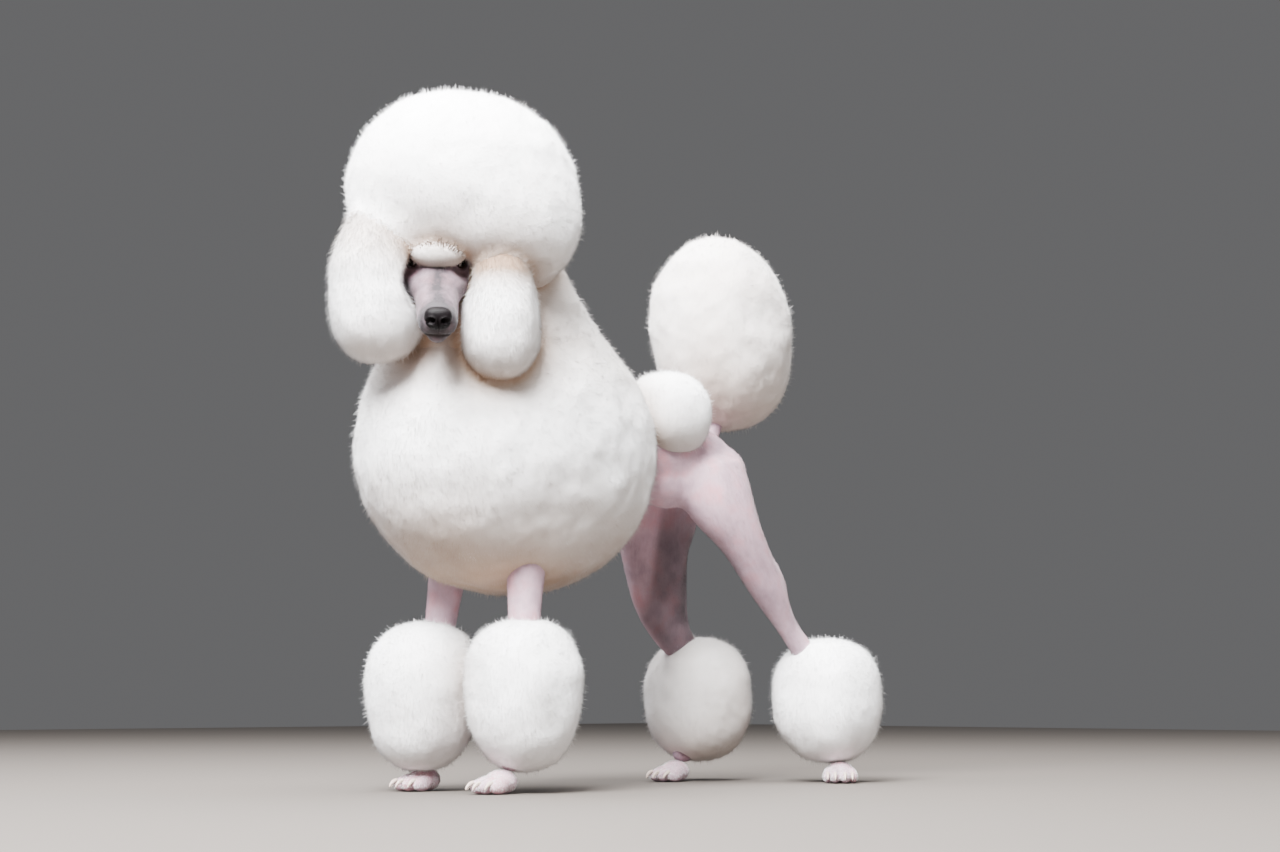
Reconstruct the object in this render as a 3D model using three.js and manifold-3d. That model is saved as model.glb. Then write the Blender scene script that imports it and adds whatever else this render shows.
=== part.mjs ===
// Standard poodle in a continental show clip, standing, life size, in millimetres.
// Dog frame: x forward, y to the dog's left, z up, floor at z = 0,
// origin on the floor between the fore legs. The last group turns it to face -Y.
import * as THREE from 'three';
import { mergeVertices } from 'three/addons/utils/BufferGeometryUtils.js';
import Module from 'manifold-3d';

const wasm = await Module();
wasm.setup();

// Driving dimensions
const gap = 0.3;
const loinHeight = 503;
const skullHeight = 733;
const topOfHead = 988;
const headYaw = THREE.MathUtils.degToRad(54);
const headPitch = THREE.MathUtils.degToRad(26);
const headRoll = THREE.MathUtils.degToRad(0);
const skullCentre = new THREE.Vector3(113, 41, skullHeight);
const eyeRadius = 11;
const muzzleLength = 125;
const noseWidth = 37;
const foreBracelet = { width: 160, height: 216 };
const hindBracelet = { width: 168, height: 200 };
const facets = { body: 14, limb: 10, core: 1, clump: 6 };
const farAway = 2000;

// Finishes
const coatWhite = new THREE.MeshStandardMaterial({ color: 0xf3f2ef, roughness: 0.95, metalness: 0 });
const clippedSkin = new THREE.MeshStandardMaterial({ color: 0xdecdd0, roughness: 0.8, metalness: 0 });
const noseLeather = new THREE.MeshStandardMaterial({ color: 0x1e1518, roughness: 0.45, metalness: 0 });
const eyeGlass = new THREE.MeshStandardMaterial({ color: 0x160d09, roughness: 0.08, metalness: 0 });
const clawHorn = new THREE.MeshStandardMaterial({ color: 0xcdb9a0, roughness: 0.5, metalness: 0 });

// Solids and geometry
const vec = (x, y, z) => new THREE.Vector3(x, y, z);

function toSolid(geometry) {
  const bare = geometry.clone();
  bare.deleteAttribute('normal');
  bare.deleteAttribute('uv');
  const merged = mergeVertices(bare, 1e-4);
  const vertProperties = new Float32Array(merged.attributes.position.array);
  const triVerts = new Uint32Array(merged.index.array);
  return new wasm.Manifold(new wasm.Mesh({ numProp: 3, vertProperties, triVerts }));
}

function toGeometry(solid) {
  const { vertProperties, triVerts } = solid.getMesh();
  const geometry = new THREE.BufferGeometry();
  geometry.setAttribute('position', new THREE.Float32BufferAttribute(vertProperties, 3));
  geometry.setIndex(new THREE.Uint32BufferAttribute(triVerts, 1));
  geometry.computeVertexNormals();
  return geometry;
}

const largest = (solid) =>
  solid.decompose().reduce((best, piece) => (piece.volume() > best.volume() ? piece : best));

const joined = (solids) => solids.reduce((sum, next) => sum.add(next));
const cutBy = (solid, cutters) => cutters.reduce((rest, cutter) => rest.subtract(cutter), solid);

// A closed surface through rings of points, from a start point to an end point
function ringSurface(start, rings, end) {
  const sides = rings[0].length;
  const points = [start, ...rings.flat(), end];
  const at = (ring, side) => 1 + ring * sides + (side % sides);
  const last = points.length - 1;
  const index = [];
  for (let side = 0; side < sides; side += 1) {
    index.push(0, at(0, side + 1), at(0, side));
    for (let ring = 0; ring + 1 < rings.length; ring += 1) {
      index.push(at(ring, side), at(ring, side + 1), at(ring + 1, side + 1));
      index.push(at(ring, side), at(ring + 1, side + 1), at(ring + 1, side));
    }
    index.push(last, at(rings.length - 1, side), at(rings.length - 1, side + 1));
  }
  const geometry = new THREE.BufferGeometry().setFromPoints(points);
  geometry.setIndex(index);
  return geometry;
}

// A limb: elliptical rings along a smooth line of stations [x, y, z, half width, half depth]
function limb(stations, { grow = 0, sides = facets.limb } = {}) {
  const across = vec(0, 1, 0);
  const line = new THREE.CatmullRomCurve3(stations.map(([x, y, z]) => vec(x, y, z)));
  const sizes = new THREE.CatmullRomCurve3(stations.map(([, , , wide, deep]) => vec(wide, deep, 0)));
  const steps = stations.length - 1;
  const rings = [];
  for (let step = 0; step <= steps; step += 1) {
    const t = step / steps;
    const along = line.getTangent(t);
    const side = across.clone().addScaledVector(along, -across.dot(along)).normalize();
    const deep = along.clone().cross(side);
    const centre = line.getPoint(t);
    const size = sizes.getPoint(t);
    rings.push(Array.from({ length: sides }, (_, number) => {
      const angle = (2 * Math.PI * number) / sides;
      return centre.clone()
        .addScaledVector(side, (size.x + grow) * Math.cos(angle))
        .addScaledVector(deep, (size.y + grow) * Math.sin(angle));
    }));
  }
  const start = line.getPoint(0).addScaledVector(line.getTangent(0), -grow);
  const end = line.getPoint(1).addScaledVector(line.getTangent(1), grow);
  return toSolid(ringSurface(start, rings, end));
}

// An ellipsoid of given half sizes, turned and then moved
function ball(centre, half, { grow = 0, turn = new THREE.Matrix4(), around = 10, up = 7 } = {}) {
  const geometry = new THREE.SphereGeometry(1, around, up);
  geometry.scale(half[0] + grow, half[1] + grow, half[2] + grow);
  geometry.applyMatrix4(turn);
  geometry.translate(centre.x, centre.y, centre.z);
  return toSolid(geometry);
}

// All of space on the far side of a plane, as a large block standing on it
function beyond(point, normal) {
  const block = new THREE.BoxGeometry(farAway, farAway, farAway);
  block.translate(0, 0, farAway / 2);
  block.applyQuaternion(new THREE.Quaternion().setFromUnitVectors(vec(0, 0, 1), normal));
  block.translate(point.x, point.y, point.z);
  return toSolid(block);
}

// Coat forms: a puff is an ellipsoid that may be fuller at its shoulders (a power over 2),
// narrower towards its foot (a taper), and turned
const noTurn = new THREE.Matrix4();

function puff({ centre, half, taper = 0, power = 2.2, turn = noTurn, core = 0.6, clump = 40 }) {
  return { centre, half, taper, power, turn, core, clump };
}

function puffPoint({ centre, half, taper, power, turn }, direction, reach = 1) {
  const { x, y, z } = direction;
  const fullness = (Math.abs(x) ** power + Math.abs(y) ** power + Math.abs(z) ** power) ** (1 / power);
  const out = reach / fullness;
  const swell = (1 + (taper * z) / fullness) * out;
  return vec(half[0] * swell * x, half[1] * swell * y, half[2] * out * z).applyMatrix4(turn).add(centre);
}

function puffSolid(form, reach = 1) {
  const geometry = new THREE.IcosahedronGeometry(1, facets.core);
  const place = geometry.attributes.position;
  for (let number = 0; number < place.count; number += 1) {
    const direction = vec(0, 0, 0).fromBufferAttribute(place, number).normalize();
    const point = puffPoint(form, direction, reach);
    place.setXYZ(number, point.x, point.y, point.z);
  }
  return toSolid(geometry);
}

// How far a puff reaches from its centre along a direction
function reachAlong(form, normal) {
  const local = normal.clone().applyMatrix4(form.turn.clone().transpose());
  const dual = form.power / (form.power - 1);
  const terms = [form.half[0] * local.x, form.half[1] * local.y, form.half[2] * local.z];
  return terms.reduce((sum, term) => sum + Math.abs(term) ** dual, 0) ** (1 / dual);
}

// Two neighbouring puffs are parted by one flat cut, half way through their overlap
function partingOf(first, second) {
  const normal = second.centre.clone().sub(first.centre);
  const apart = normal.length();
  normal.normalize();
  const middle = (apart + reachAlong(first, normal) - reachAlong(second, normal)) / 2;
  return { point: first.centre.clone().addScaledVector(normal, middle), normal };
}

const cutAt = ({ point, normal }) => beyond(point.clone().addScaledVector(normal, -gap / 2), normal);
const depthPast = ({ point, normal }, place) => place.clone().sub(point).dot(normal);

// The surface of an ellipsoid, by Thomsen's power mean of its three products of half sizes
function surfaceOf({ half: [a, b, c] }) {
  const power = 1.6075;
  const mean = ((a * b) ** power + (a * c) ** power + (b * c) ** power) / 3;
  return 4 * Math.PI * mean ** (1 / power);
}

// The same random draws on every run
function seeded(seed) {
  let state = seed;
  return () => {
    state = (state * 1664525 + 1013904223) % 4294967296;
    return state / 4294967296;
  };
}

// The outward normal of a puff at a direction from its centre
function puffNormal({ half, power, turn }, direction) {
  const slope = (share, size) => (Math.sign(share) * Math.abs(share) ** (power - 1)) / size;
  const { x, y, z } = direction;
  return vec(slope(x, half[0]), slope(y, half[1]), slope(z, half[2])).applyMatrix4(turn).normalize();
}

// A rounded clump of curls: a low dome of rings down to its full width, and a root below.
// Each ring is [depth below the tip, radius], both as shares of the half width.
const domeRings = [[1.05, 1], [0.32, 0.74]];

function clumpSolid(tip, outward, halfWidth, length, spin) {
  const side = vec(0.31, 0.52, 0.8).cross(outward).normalize();
  const deep = outward.clone().cross(side);
  const rings = domeRings.map(([depth, radius]) =>
    Array.from({ length: facets.clump }, (_, number) => {
      const angle = spin + (2 * Math.PI * number) / facets.clump;
      return tip.clone().addScaledVector(outward, -depth * halfWidth)
        .addScaledVector(side, halfWidth * radius * Math.cos(angle))
        .addScaledVector(deep, halfWidth * radius * Math.sin(angle));
    }));
  return toSolid(ringSurface(tip.clone().addScaledVector(outward, -length), rings, tip));
}

// Clumps over a puff, on a spiral that spaces them evenly, with their roots sunk in its core
const clumpSpacing = 1.5;
const goldenAngle = Math.PI * (3 - Math.sqrt(5));

function coat(form, seed, isKept) {
  const random = seeded(seed);
  const vary = (amount) => 1 + amount * (2 * random() - 1);
  const count = Math.round(surfaceOf(form) / (clumpSpacing * form.clump) ** 2);
  const pieces = [puffSolid(form, form.core)];
  for (let number = 0; number < count; number += 1) {
    const height = 1 - (2 * number + 1) / count;
    const around = number * goldenAngle;
    const wide = Math.sqrt(1 - height * height);
    const direction = vec(wide * Math.cos(around), wide * Math.sin(around), height);
    const tip = puffPoint(form, direction, vary(0.015));
    const inward = form.centre.clone().sub(tip);
    const outward = puffNormal(form, direction).addScaledVector(inward.clone().normalize(), -1)
      .add(vec(vary(1) - 1, vary(1) - 1, vary(1) - 1).multiplyScalar(0.08)).normalize();
    const halfWidth = form.clump * vary(0.08);
    const length = Math.max(inward.length() * (1 - 0.75 * form.core), 1.25 * halfWidth);
    if (isKept(tip, halfWidth)) {
      pieces.push(clumpSolid(tip, outward, halfWidth, length, 2 * Math.PI * random()));
    }
  }
  return joined(pieces);
}

// Head, built in its own frame: x along the muzzle, y to its left, z up, origin in the skull
const headPlace = new THREE.Matrix4()
  .makeTranslation(skullCentre.x, skullCentre.y, skullCentre.z)
  .multiply(new THREE.Matrix4().makeRotationZ(headYaw))
  .multiply(new THREE.Matrix4().makeRotationY(headPitch))
  .multiply(new THREE.Matrix4().makeRotationX(headRoll));
const onDog = (solid) => solid.transform(headPlace.elements);
const faceTurn = new THREE.Matrix4().makeRotationZ(headYaw);

const noseTip = 62 + muzzleLength;
const skullLine = [
  [-68, 0, 4, 22, 24],
  [-50, 0, 6, 40, 38],
  [-10, 0, 6, 50, 47],
  [30, 0, 4, 46, 43],
  [58, 0, -5, 37, 36],
  [85, 0, -17, 31, 30],
  [120, 0, -25, 27.5, 27],
  [noseTip - 35, 0, -31, 25.5, 25],
  [noseTip - 17, 0, -34, 23, 22.5],
  [noseTip - 6, 0, -36, 17, 16],
];
const eyePlace = (side) => vec(41, side * 29, 15);
const nosePlace = vec(noseTip - 9, 0, -27);

function skull(grow = 0) {
  return limb(skullLine, { grow, sides: facets.body });
}

function muzzleDetails(grow = 0) {
  const flews = [1, -1].map((side) =>
    ball(vec(noseTip - 30, side * 12, -34), [26, 14.5, 17], { grow, around: 8, up: 5 }));
  const chin = ball(vec(noseTip - 30, 0, -54), [22, 14, 10], { grow, around: 7, up: 5 });
  const brows = [1, -1].map((side) =>
    ball(vec(34, side * 27, 27), [20, 14, 9], { grow, around: 7, up: 5 }));
  const cheeks = [1, -1].map((side) =>
    ball(vec(22, side * 30, -14), [38, 18, 22], { grow, around: 7, up: 5 }));
  return [...flews, chin, ...brows, ...cheeks];
}

const eyeBall = (side, grow = 0) =>
  ball(eyePlace(side), Array(3).fill(eyeRadius), { grow, around: 9, up: 6 });

// Lids: a shell over each eye, opened by an almond-shaped slit that looks outward
const lookOut = THREE.MathUtils.degToRad(38);

function lidShell(side, grow = 0) {
  const turn = new THREE.Matrix4().makeRotationZ(side * lookOut);
  const half = [eyeRadius + 3, eyeRadius + 4, eyeRadius + 3.5];
  return ball(eyePlace(side), half, { grow, turn, around: 8, up: 6 });
}

function lidSlit(side) {
  const turn = new THREE.Matrix4().makeRotationZ(side * lookOut);
  const look = vec(Math.cos(lookOut), side * Math.sin(lookOut), 0.06);
  const centre = eyePlace(side).addScaledVector(look, eyeRadius + 2);
  return ball(centre, [9, 11.5, 6.5], { turn, around: 8, up: 5 });
}

// The cup of each ear, where the ear's leather and its long hair grow from the side of the skull
const earPlace = (side) => vec(-12, side * 50, 16);

function earRoot(side, grow = 0) {
  return ball(earPlace(side), [17, 12, 21], { grow, around: 7, up: 5 });
}

function earCup(side) {
  return ball(earPlace(side).add(vec(7, side * 10, -3)), [11, 8, 14], { around: 7, up: 5 });
}

// The line of the mouth: a thin curved blade, kept off the inside of the jaws
function mouthGroove() {
  const depth = 3.2;
  const thick = 1.8;
  const lipLine = new THREE.CatmullRomCurve3([
    vec(noseTip + 20, -50, 0), vec(noseTip - 25, -49, 0), vec(noseTip - 60, -45, 0),
    vec(noseTip - 95, -40, 0), vec(noseTip - 112, -34, 0)]);
  const upper = lipLine.getPoints(5);
  const outline = [...upper, ...upper.map((p) => vec(p.x, p.y - thick, 0)).reverse()];
  const shape = new THREE.Shape(outline.map((p) => new THREE.Vector2(p.x, p.y)));
  const blade = new THREE.ExtrudeGeometry(shape, { depth: 120, bevelEnabled: false });
  blade.translate(0, 0, -60);
  blade.rotateX(Math.PI / 2);
  return toSolid(blade).subtract(joined([skull(-depth), ...muzzleDetails(-depth)]));
}

function headShape(grow = 0) {
  const paired = [1, -1].flatMap((side) => [lidShell(side, grow), earRoot(side, grow)]);
  return joined([skull(grow), ...muzzleDetails(grow), ...paired]);
}

function noseShape(grow = 0) {
  return ball(nosePlace, [12, noseWidth / 2, 15], { grow, around: 10, up: 7 });
}

function makeNose() {
  const nostrils = [1, -1].map((side) =>
    ball(nosePlace.clone().add(vec(11, side * 9, -1)), [7, 3.6, 3.4], { around: 7, up: 5 }));
  return largest(cutBy(noseShape(), nostrils));
}

function makeHead() {
  const openings = [1, -1].flatMap((side) => [lidSlit(side), eyeBall(side, gap), earCup(side)]);
  return largest(cutBy(headShape(), [...openings, noseShape(gap), mouthGroove()]));
}

// Legs: [x, y, z, half width, half depth]
const foreLegLine = {
  left: [
    [-34, 68, 420, 40, 42], [-28, 73, 320, 28.5, 29], [-24, 75, 240, 22.5, 23],
    [-24, 75, 135, 19, 19], [-12, 75, 70, 18, 18], [2, 75, 34, 18, 16],
  ],
  right: [
    [-16, -68, 420, 40, 42], [-4, -73, 320, 28.5, 29], [8, -75, 240, 22.5, 23],
    [22, -75, 135, 19, 19], [26, -75, 70, 18, 18], [32, -75, 34, 18, 16],
  ],
};
const hindLegLine = {
  left: [
    [-392, 55, 505, 42, 72], [-412, 72, 440, 44, 64], [-446, 88, 373, 36, 46],
    [-500, 92, 300, 27, 32], [-548, 92, 238, 17, 20], [-590, 94, 190, 17, 22],
    [-612, 104, 130, 15, 16], [-620, 117, 70, 16, 16], [-616, 124, 38, 18, 18],
  ],
  right: [
    [-382, -55, 500, 42, 66], [-395, -72, 430, 44, 66], [-418, -80, 355, 38, 56],
    [-446, -80, 285, 30, 45], [-480, -80, 230, 20, 30], [-515, -80, 186, 17, 22],
    [-512, -80, 125, 15, 16], [-494, -80, 70, 16, 17], [-478, -80, 38, 18, 18],
  ],
};
const hindquartersLine = [
  [-180, 0, loinHeight + 2, 92, 84], [-270, 0, loinHeight, 78, 70], [-350, 0, loinHeight - 3, 86, 68],
  [-420, 0, loinHeight - 12, 82, 62], [-470, 0, loinHeight - 28, 58, 46],
  [-492, 0, loinHeight - 38, 28, 24],
];

const hindquarters = (grow = 0) => limb(hindquartersLine, { grow, sides: facets.body });
const foreLeg = (side, grow = 0) => limb(foreLegLine[side], { grow });
const hindLeg = (side, grow = 0) => limb(hindLegLine[side], { grow });

// Paws: a pad, four toes and four claws, in the paw's own frame with x towards the toes
const pawPlaces = {
  fore_left: { centre: vec(26, 75, 0), heading: 0, leg: () => foreLeg('left', gap) },
  fore_right: { centre: vec(44, -75, 0), heading: 0, leg: () => foreLeg('right', gap) },
  hind_left: { centre: vec(-610, 142, 0), heading: 42, leg: () => hindLeg('left', gap) },
  hind_right: { centre: vec(-457, -80, 0), heading: 0, leg: () => hindLeg('right', gap) },
};
const toes = [
  { x: 8, y: 19, reach: 17 }, { x: 19, y: 7.5, reach: 18 },
  { x: 19, y: -7.5, reach: 18 }, { x: 8, y: -19, reach: 17 },
];

function pawMatrix({ centre, heading }) {
  return new THREE.Matrix4().makeTranslation(centre.x, centre.y, 0)
    .multiply(new THREE.Matrix4().makeRotationZ(THREE.MathUtils.degToRad(heading)));
}

function pawShape(place, grow = 0) {
  const pad = ball(vec(-10, 0, 19), [25, 23, 22], { grow, around: 8, up: 5 });
  const toeBalls = toes.map(({ x, y, reach }) =>
    ball(vec(x, y, 12), [reach, 8.5, 14], { grow, around: 6, up: 5 }));
  return joined([pad, ...toeBalls]).transform(pawMatrix(place).elements);
}

function makePaw(name) {
  const place = pawPlaces[name];
  const floor = beyond(vec(0, 0, 0), vec(0, 0, -1));
  return largest(cutBy(pawShape(place), [floor, place.leg()]));
}

function makeClaw(name, toe) {
  const place = pawPlaces[name];
  const root = toe.x + toe.reach - 6;
  const horn = limb([
    [root, toe.y, 15.5, 3.1, 3.4], [root + 11, toe.y, 13.5, 2.5, 2.9],
    [root + 17.5, toe.y, 5, 0.7, 0.8]], { sides: 5 });
  return largest(horn.transform(pawMatrix(place).elements).subtract(pawShape(place, gap)));
}

// Coat forms
const lean = (degrees) => new THREE.Matrix4().makeRotationY(THREE.MathUtils.degToRad(degrees));
const tilted = (degrees) =>
  faceTurn.clone().multiply(new THREE.Matrix4().makeRotationX(THREE.MathUtils.degToRad(degrees)));
const bracelet = (x, y, z, { width, height }, taper) =>
  puff({ centre: vec(x, y, z), half: [width / 2, width / 2, height / 2], taper, clump: 53 });
const rosette = (side) =>
  puff({ centre: vec(-318, side * 60, 560), half: [68, 62, 67], core: 0.5, clump: 39 });
const forms = {
  mane: puff({ centre: vec(-54, 0, 486), half: [241, 182, 208], power: 2.15, core: 0.74, clump: 81 }),
  neck: puff({ centre: vec(-10, 8, 650), half: [148, 124, 150], turn: lean(24), core: 0.74, clump: 68 }),
  topknot: puff({
    centre: vec(75, 52, 850), half: [146, 165, topOfHead - 852], taper: -0.06, power: 2.1, turn: tilted(-8),
    clump: 66,
  }),
  ear_right: puff({
    centre: vec(208, 27, 683), half: [60, 63, 98], taper: -0.18, power: 2.3, turn: tilted(9), core: 0.55,
    clump: 48,
  }),
  ear_left: puff({
    centre: vec(75, 137, 664), half: [60, 54, 106], taper: -0.12, turn: faceTurn, core: 0.55, clump: 48,
  }),
  bracelet_fore_left: bracelet(-23, 75, 135, foreBracelet, 0.14),
  bracelet_fore_right: bracelet(38, -75, 132, foreBracelet, 0.14),
  bracelet_hind_left: bracelet(-625, 105, 127, hindBracelet, 0.04),
  bracelet_hind_right: bracelet(-519, -80, 129, hindBracelet, 0.04),
  rosette_left: rosette(1),
  rosette_right: rosette(-1),
  tail_pompom: puff({
    centre: vec(-495, 0, 712), half: [110, 110, 157], turn: lean(10), core: 0.57, clump: 62,
  }),
};

const tailLine = [
  [-440, 0, 505, 17, 17], [-468, 0, 545, 15, 15], [-492, 0, 600, 13, 13], [-500, 0, 680, 10, 10],
  [-494, 0, 720, 6, 6],
];
const tail = (grow = 0) => limb(tailLine, { grow });

// What each coat form is cut by: its neighbours in coat by flat partings, flesh by its own shape
const headOnDog = onDog(headShape(gap).add(noseShape(gap)));
const coatNeighbours = {
  mane: ['neck', 'ear_left', 'ear_right', 'rosette_left', 'rosette_right'],
  neck: ['mane', 'topknot', 'ear_left', 'ear_right'],
  topknot: ['neck', 'ear_left', 'ear_right'],
  ear_left: ['topknot', 'neck', 'mane', 'ear_right'],
  ear_right: ['topknot', 'neck', 'mane', 'ear_left'],
  bracelet_fore_left: ['bracelet_fore_right'],
  bracelet_fore_right: ['bracelet_fore_left'],
  bracelet_hind_left: [],
  bracelet_hind_right: [],
  rosette_left: ['rosette_right', 'mane'],
  rosette_right: ['rosette_left', 'mane'],
  tail_pompom: [],
};
const fleshInside = {
  mane: () => [hindquarters(gap), foreLeg('left', gap), foreLeg('right', gap), headOnDog],
  neck: () => [headOnDog],
  topknot: () => [headOnDog],
  ear_left: () => [headOnDog],
  ear_right: () => [headOnDog],
  bracelet_fore_left: () => [foreLeg('left', gap), pawShape(pawPlaces.fore_left, gap)],
  bracelet_fore_right: () => [foreLeg('right', gap), pawShape(pawPlaces.fore_right, gap)],
  bracelet_hind_left: () => [hindLeg('left', gap), pawShape(pawPlaces.hind_left, gap)],
  bracelet_hind_right: () => [hindLeg('right', gap), pawShape(pawPlaces.hind_right, gap)],
  rosette_left: () => [hindquarters(gap)],
  rosette_right: () => [hindquarters(gap)],
  tail_pompom: () => [tail(gap), hindquarters(gap)],
};

function makeCoat(name, seed) {
  const partings = coatNeighbours[name].map((other) => partingOf(forms[name], forms[other]));
  const isKept = (tip, halfWidth) => partings.every((parting) => depthPast(parting, tip) < halfWidth);
  const whole = coat(forms[name], seed, isKept);
  return largest(cutBy(whole, [...partings.map(cutAt), ...fleshInside[name]()]));
}

// The scene graph
const dog = new THREE.Group();

function add(name, solid, material) {
  const geometry = toGeometry(solid);
  geometry.computeBoundingBox();
  const middle = geometry.boundingBox.getCenter(vec(0, 0, 0));
  geometry.translate(-middle.x, -middle.y, -middle.z);
  const mesh = new THREE.Mesh(geometry, material);
  mesh.name = name;
  mesh.position.copy(middle);
  dog.add(mesh);
}

add('head', onDog(makeHead()), clippedSkin);
add('nose', onDog(makeNose()), noseLeather);
add('eye_left', onDog(eyeBall(1)), eyeGlass);
add('eye_right', onDog(eyeBall(-1)), eyeGlass);
Object.keys(forms).forEach((name, seed) => {
  add(name === 'mane' ? 'torso' : name, makeCoat(name, 11 + seed), coatWhite);
});
add('hindquarters', largest(hindquarters()), clippedSkin);
add('tail', largest(tail().subtract(hindquarters(gap))), clippedSkin);
for (const side of ['left', 'right']) {
  add(`foreleg_${side}`, foreLeg(side), clippedSkin);
  add(`hindleg_${side}`, largest(hindLeg(side).subtract(hindquarters(gap))), clippedSkin);
}
for (const name of Object.keys(pawPlaces)) {
  add(`paw_${name}`, makePaw(name), clippedSkin);
  toes.forEach((toe, number) => add(`claw_${name}_${number + 1}`, makeClaw(name, toe), clawHorn));
}

// The part faces -Y and has its origin in the middle of its footprint, on the floor
const part = new THREE.Group();
dog.rotation.z = -Math.PI / 2;
part.add(dog);
part.updateMatrixWorld(true);
const box = new THREE.Box3().setFromObject(part, true);
dog.position.set(-(box.min.x + box.max.x) / 2, -(box.min.y + box.max.y) / 2, -box.min.z);
part.updateMatrixWorld(true);

export default part;
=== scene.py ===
"""A white standard poodle in a continental show clip, standing still: the looks around its solid parts.

Lengths are millimetres in the dog's own frame: x forward, y to the dog's left, z up, and the floor at z = 0,
with the origin on the floor between the fore legs. PartFrame turns them to the part's frame, which is in
metres and has the dog facing -Y. The head has a frame of its own: x along the muzzle, y to its left, with its
origin in the skull.
"""

import logging
import math
from dataclasses import dataclass, field
from enum import Enum
from typing import Callable, Sequence

import bpy
import numpy as np
from mathutils import Matrix, Vector


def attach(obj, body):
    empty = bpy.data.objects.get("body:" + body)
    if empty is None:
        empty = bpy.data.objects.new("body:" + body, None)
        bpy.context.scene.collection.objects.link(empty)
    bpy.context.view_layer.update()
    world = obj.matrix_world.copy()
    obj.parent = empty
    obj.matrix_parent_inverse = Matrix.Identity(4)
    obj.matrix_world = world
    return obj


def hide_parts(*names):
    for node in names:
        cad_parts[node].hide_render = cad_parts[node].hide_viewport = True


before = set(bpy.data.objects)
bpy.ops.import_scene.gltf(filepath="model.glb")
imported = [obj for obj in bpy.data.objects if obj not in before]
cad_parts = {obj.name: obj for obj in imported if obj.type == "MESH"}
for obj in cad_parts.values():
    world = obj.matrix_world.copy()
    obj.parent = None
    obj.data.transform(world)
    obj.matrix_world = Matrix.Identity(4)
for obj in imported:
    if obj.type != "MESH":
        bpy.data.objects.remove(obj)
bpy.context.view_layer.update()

log = logging.getLogger("poodle")
Array = np.ndarray
Shell = tuple[Array, list[Array]]
Numbers = Sequence[float]

MM = 0.001
BODY = "root"
GOLDEN_ANGLE = math.pi * (3 - math.sqrt(5))
PATCH = 0.003  # a tuft's patch of the map, across
MARGIN = 0.002  # what the map keeps free at its edges


class Slot(Enum):
    """The record's material slots."""

    COAT = "coat"
    SKIN = "skin"
    NOSE = "nose"
    EYES = "eyes"
    CLAWS = "claws"


class Side(Enum):
    """The dog's own left and right, as the sign of y."""

    LEFT = 1
    RIGHT = -1


# Frames


def turn_about(axis: str, degrees: float) -> Array:
    """The 3 by 3 matrix of a turn about one axis.

    Args:
        axis: "X", "Y" or "Z".
        degrees: the turn, anticlockwise seen from the axis's tip.

    Returns:
        The matrix, which multiplies column vectors.
    """
    return np.array(Matrix.Rotation(math.radians(degrees), 3, axis))


@dataclass(frozen=True)
class HeadFrame:
    """Where the head's own frame lies in the dog's frame."""

    origin: tuple[float, float, float] = (113.0, 41.0, 733.0)
    yaw: float = 54.0
    pitch: float = 26.0

    def turn(self) -> Array:
        """The head's turn: yaw, then pitch."""
        return turn_about("Z", self.yaw) @ turn_about("Y", self.pitch)

    def face_turn(self) -> Array:
        """The yaw alone, for the coat round the head."""
        return turn_about("Z", self.yaw)

    def to_dog(self, points: Array) -> Array:
        """Points of the head's frame in the dog's frame."""
        return points @ self.turn().T + np.array(self.origin)

    def from_dog(self, points: Array) -> Array:
        """Points of the dog's frame in the head's frame."""
        return (points - np.array(self.origin)) @ self.turn()

    def turned(self, vectors: Array) -> Array:
        """Directions of the head's frame in the dog's frame."""
        return vectors @ self.turn().T


HEAD = HeadFrame()
EYE_PLACE = (41.0, 29.0, 15.0)
EYE_RADIUS = 11.0
EYE_LOOK = 38.0


def eye_centre(side: Side) -> Array:
    """The middle of an eye in the head's frame."""
    return np.array([EYE_PLACE[0], side.value * EYE_PLACE[1], EYE_PLACE[2]])


def read(rows: bpy.types.bpy_prop_collection, key: str, width: int = 1, kind: type = float) -> Array:
    """One value, or a row of a few, of each thing in one of Blender's lists.

    Args:
        rows: the list, such as a mesh's vertices.
        key: the value's name.
        width: how many numbers it has.
        kind: the numbers' type.

    Returns:
        A flat array, or rows of the width where it is more than one.
    """
    raw = np.empty(len(rows) * width, kind)
    rows.foreach_get(key, raw)
    return raw if width == 1 else raw.reshape(-1, width)


class PartFrame:
    """The dog's frame set into the part's frame, found from where the left eye's solid lies."""

    def __init__(self) -> None:
        """Reads the shift from the middle of the eye's own points."""
        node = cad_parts["eye_left"]
        corners = np.unique(np.round(read(node.data.vertices, "co", 3), 6), axis=0)
        eye = HEAD.to_dog(eye_centre(Side.LEFT)[None])[0] * MM
        self.shift = corners.mean(axis=0) - np.array([eye[1], -eye[0], eye[2]])

    def points(self, dog: Array) -> Array:
        """Points of the dog's frame in millimetres, as points of the part's frame in metres."""
        return np.stack([dog[:, 1], -dog[:, 0], dog[:, 2]], axis=1) * MM + self.shift

    @staticmethod
    def vectors(dog: Array) -> Array:
        """Directions of the dog's frame in the part's frame."""
        return np.stack([dog[:, 1], -dog[:, 0], dog[:, 2]], axis=1)

    @staticmethod
    def back(vectors: Array) -> Array:
        """Directions of the part's frame in the dog's frame."""
        return np.stack([-vectors[:, 1], vectors[:, 0], vectors[:, 2]], axis=1)


PART = PartFrame()


# Numbers over arrays


def unit(vectors: Array) -> Array:
    """Each row made one long."""
    return vectors / np.maximum(np.linalg.norm(vectors, axis=-1, keepdims=True), 1e-9)


def smooth_step(low: float, high: float, values: Array) -> Array:
    """0 under low, 1 over high, and 3t^2 - 2t^3 between them."""
    t = np.clip((values - low) / (high - low), 0, 1)
    return t * t * (3 - 2 * t)


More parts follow.
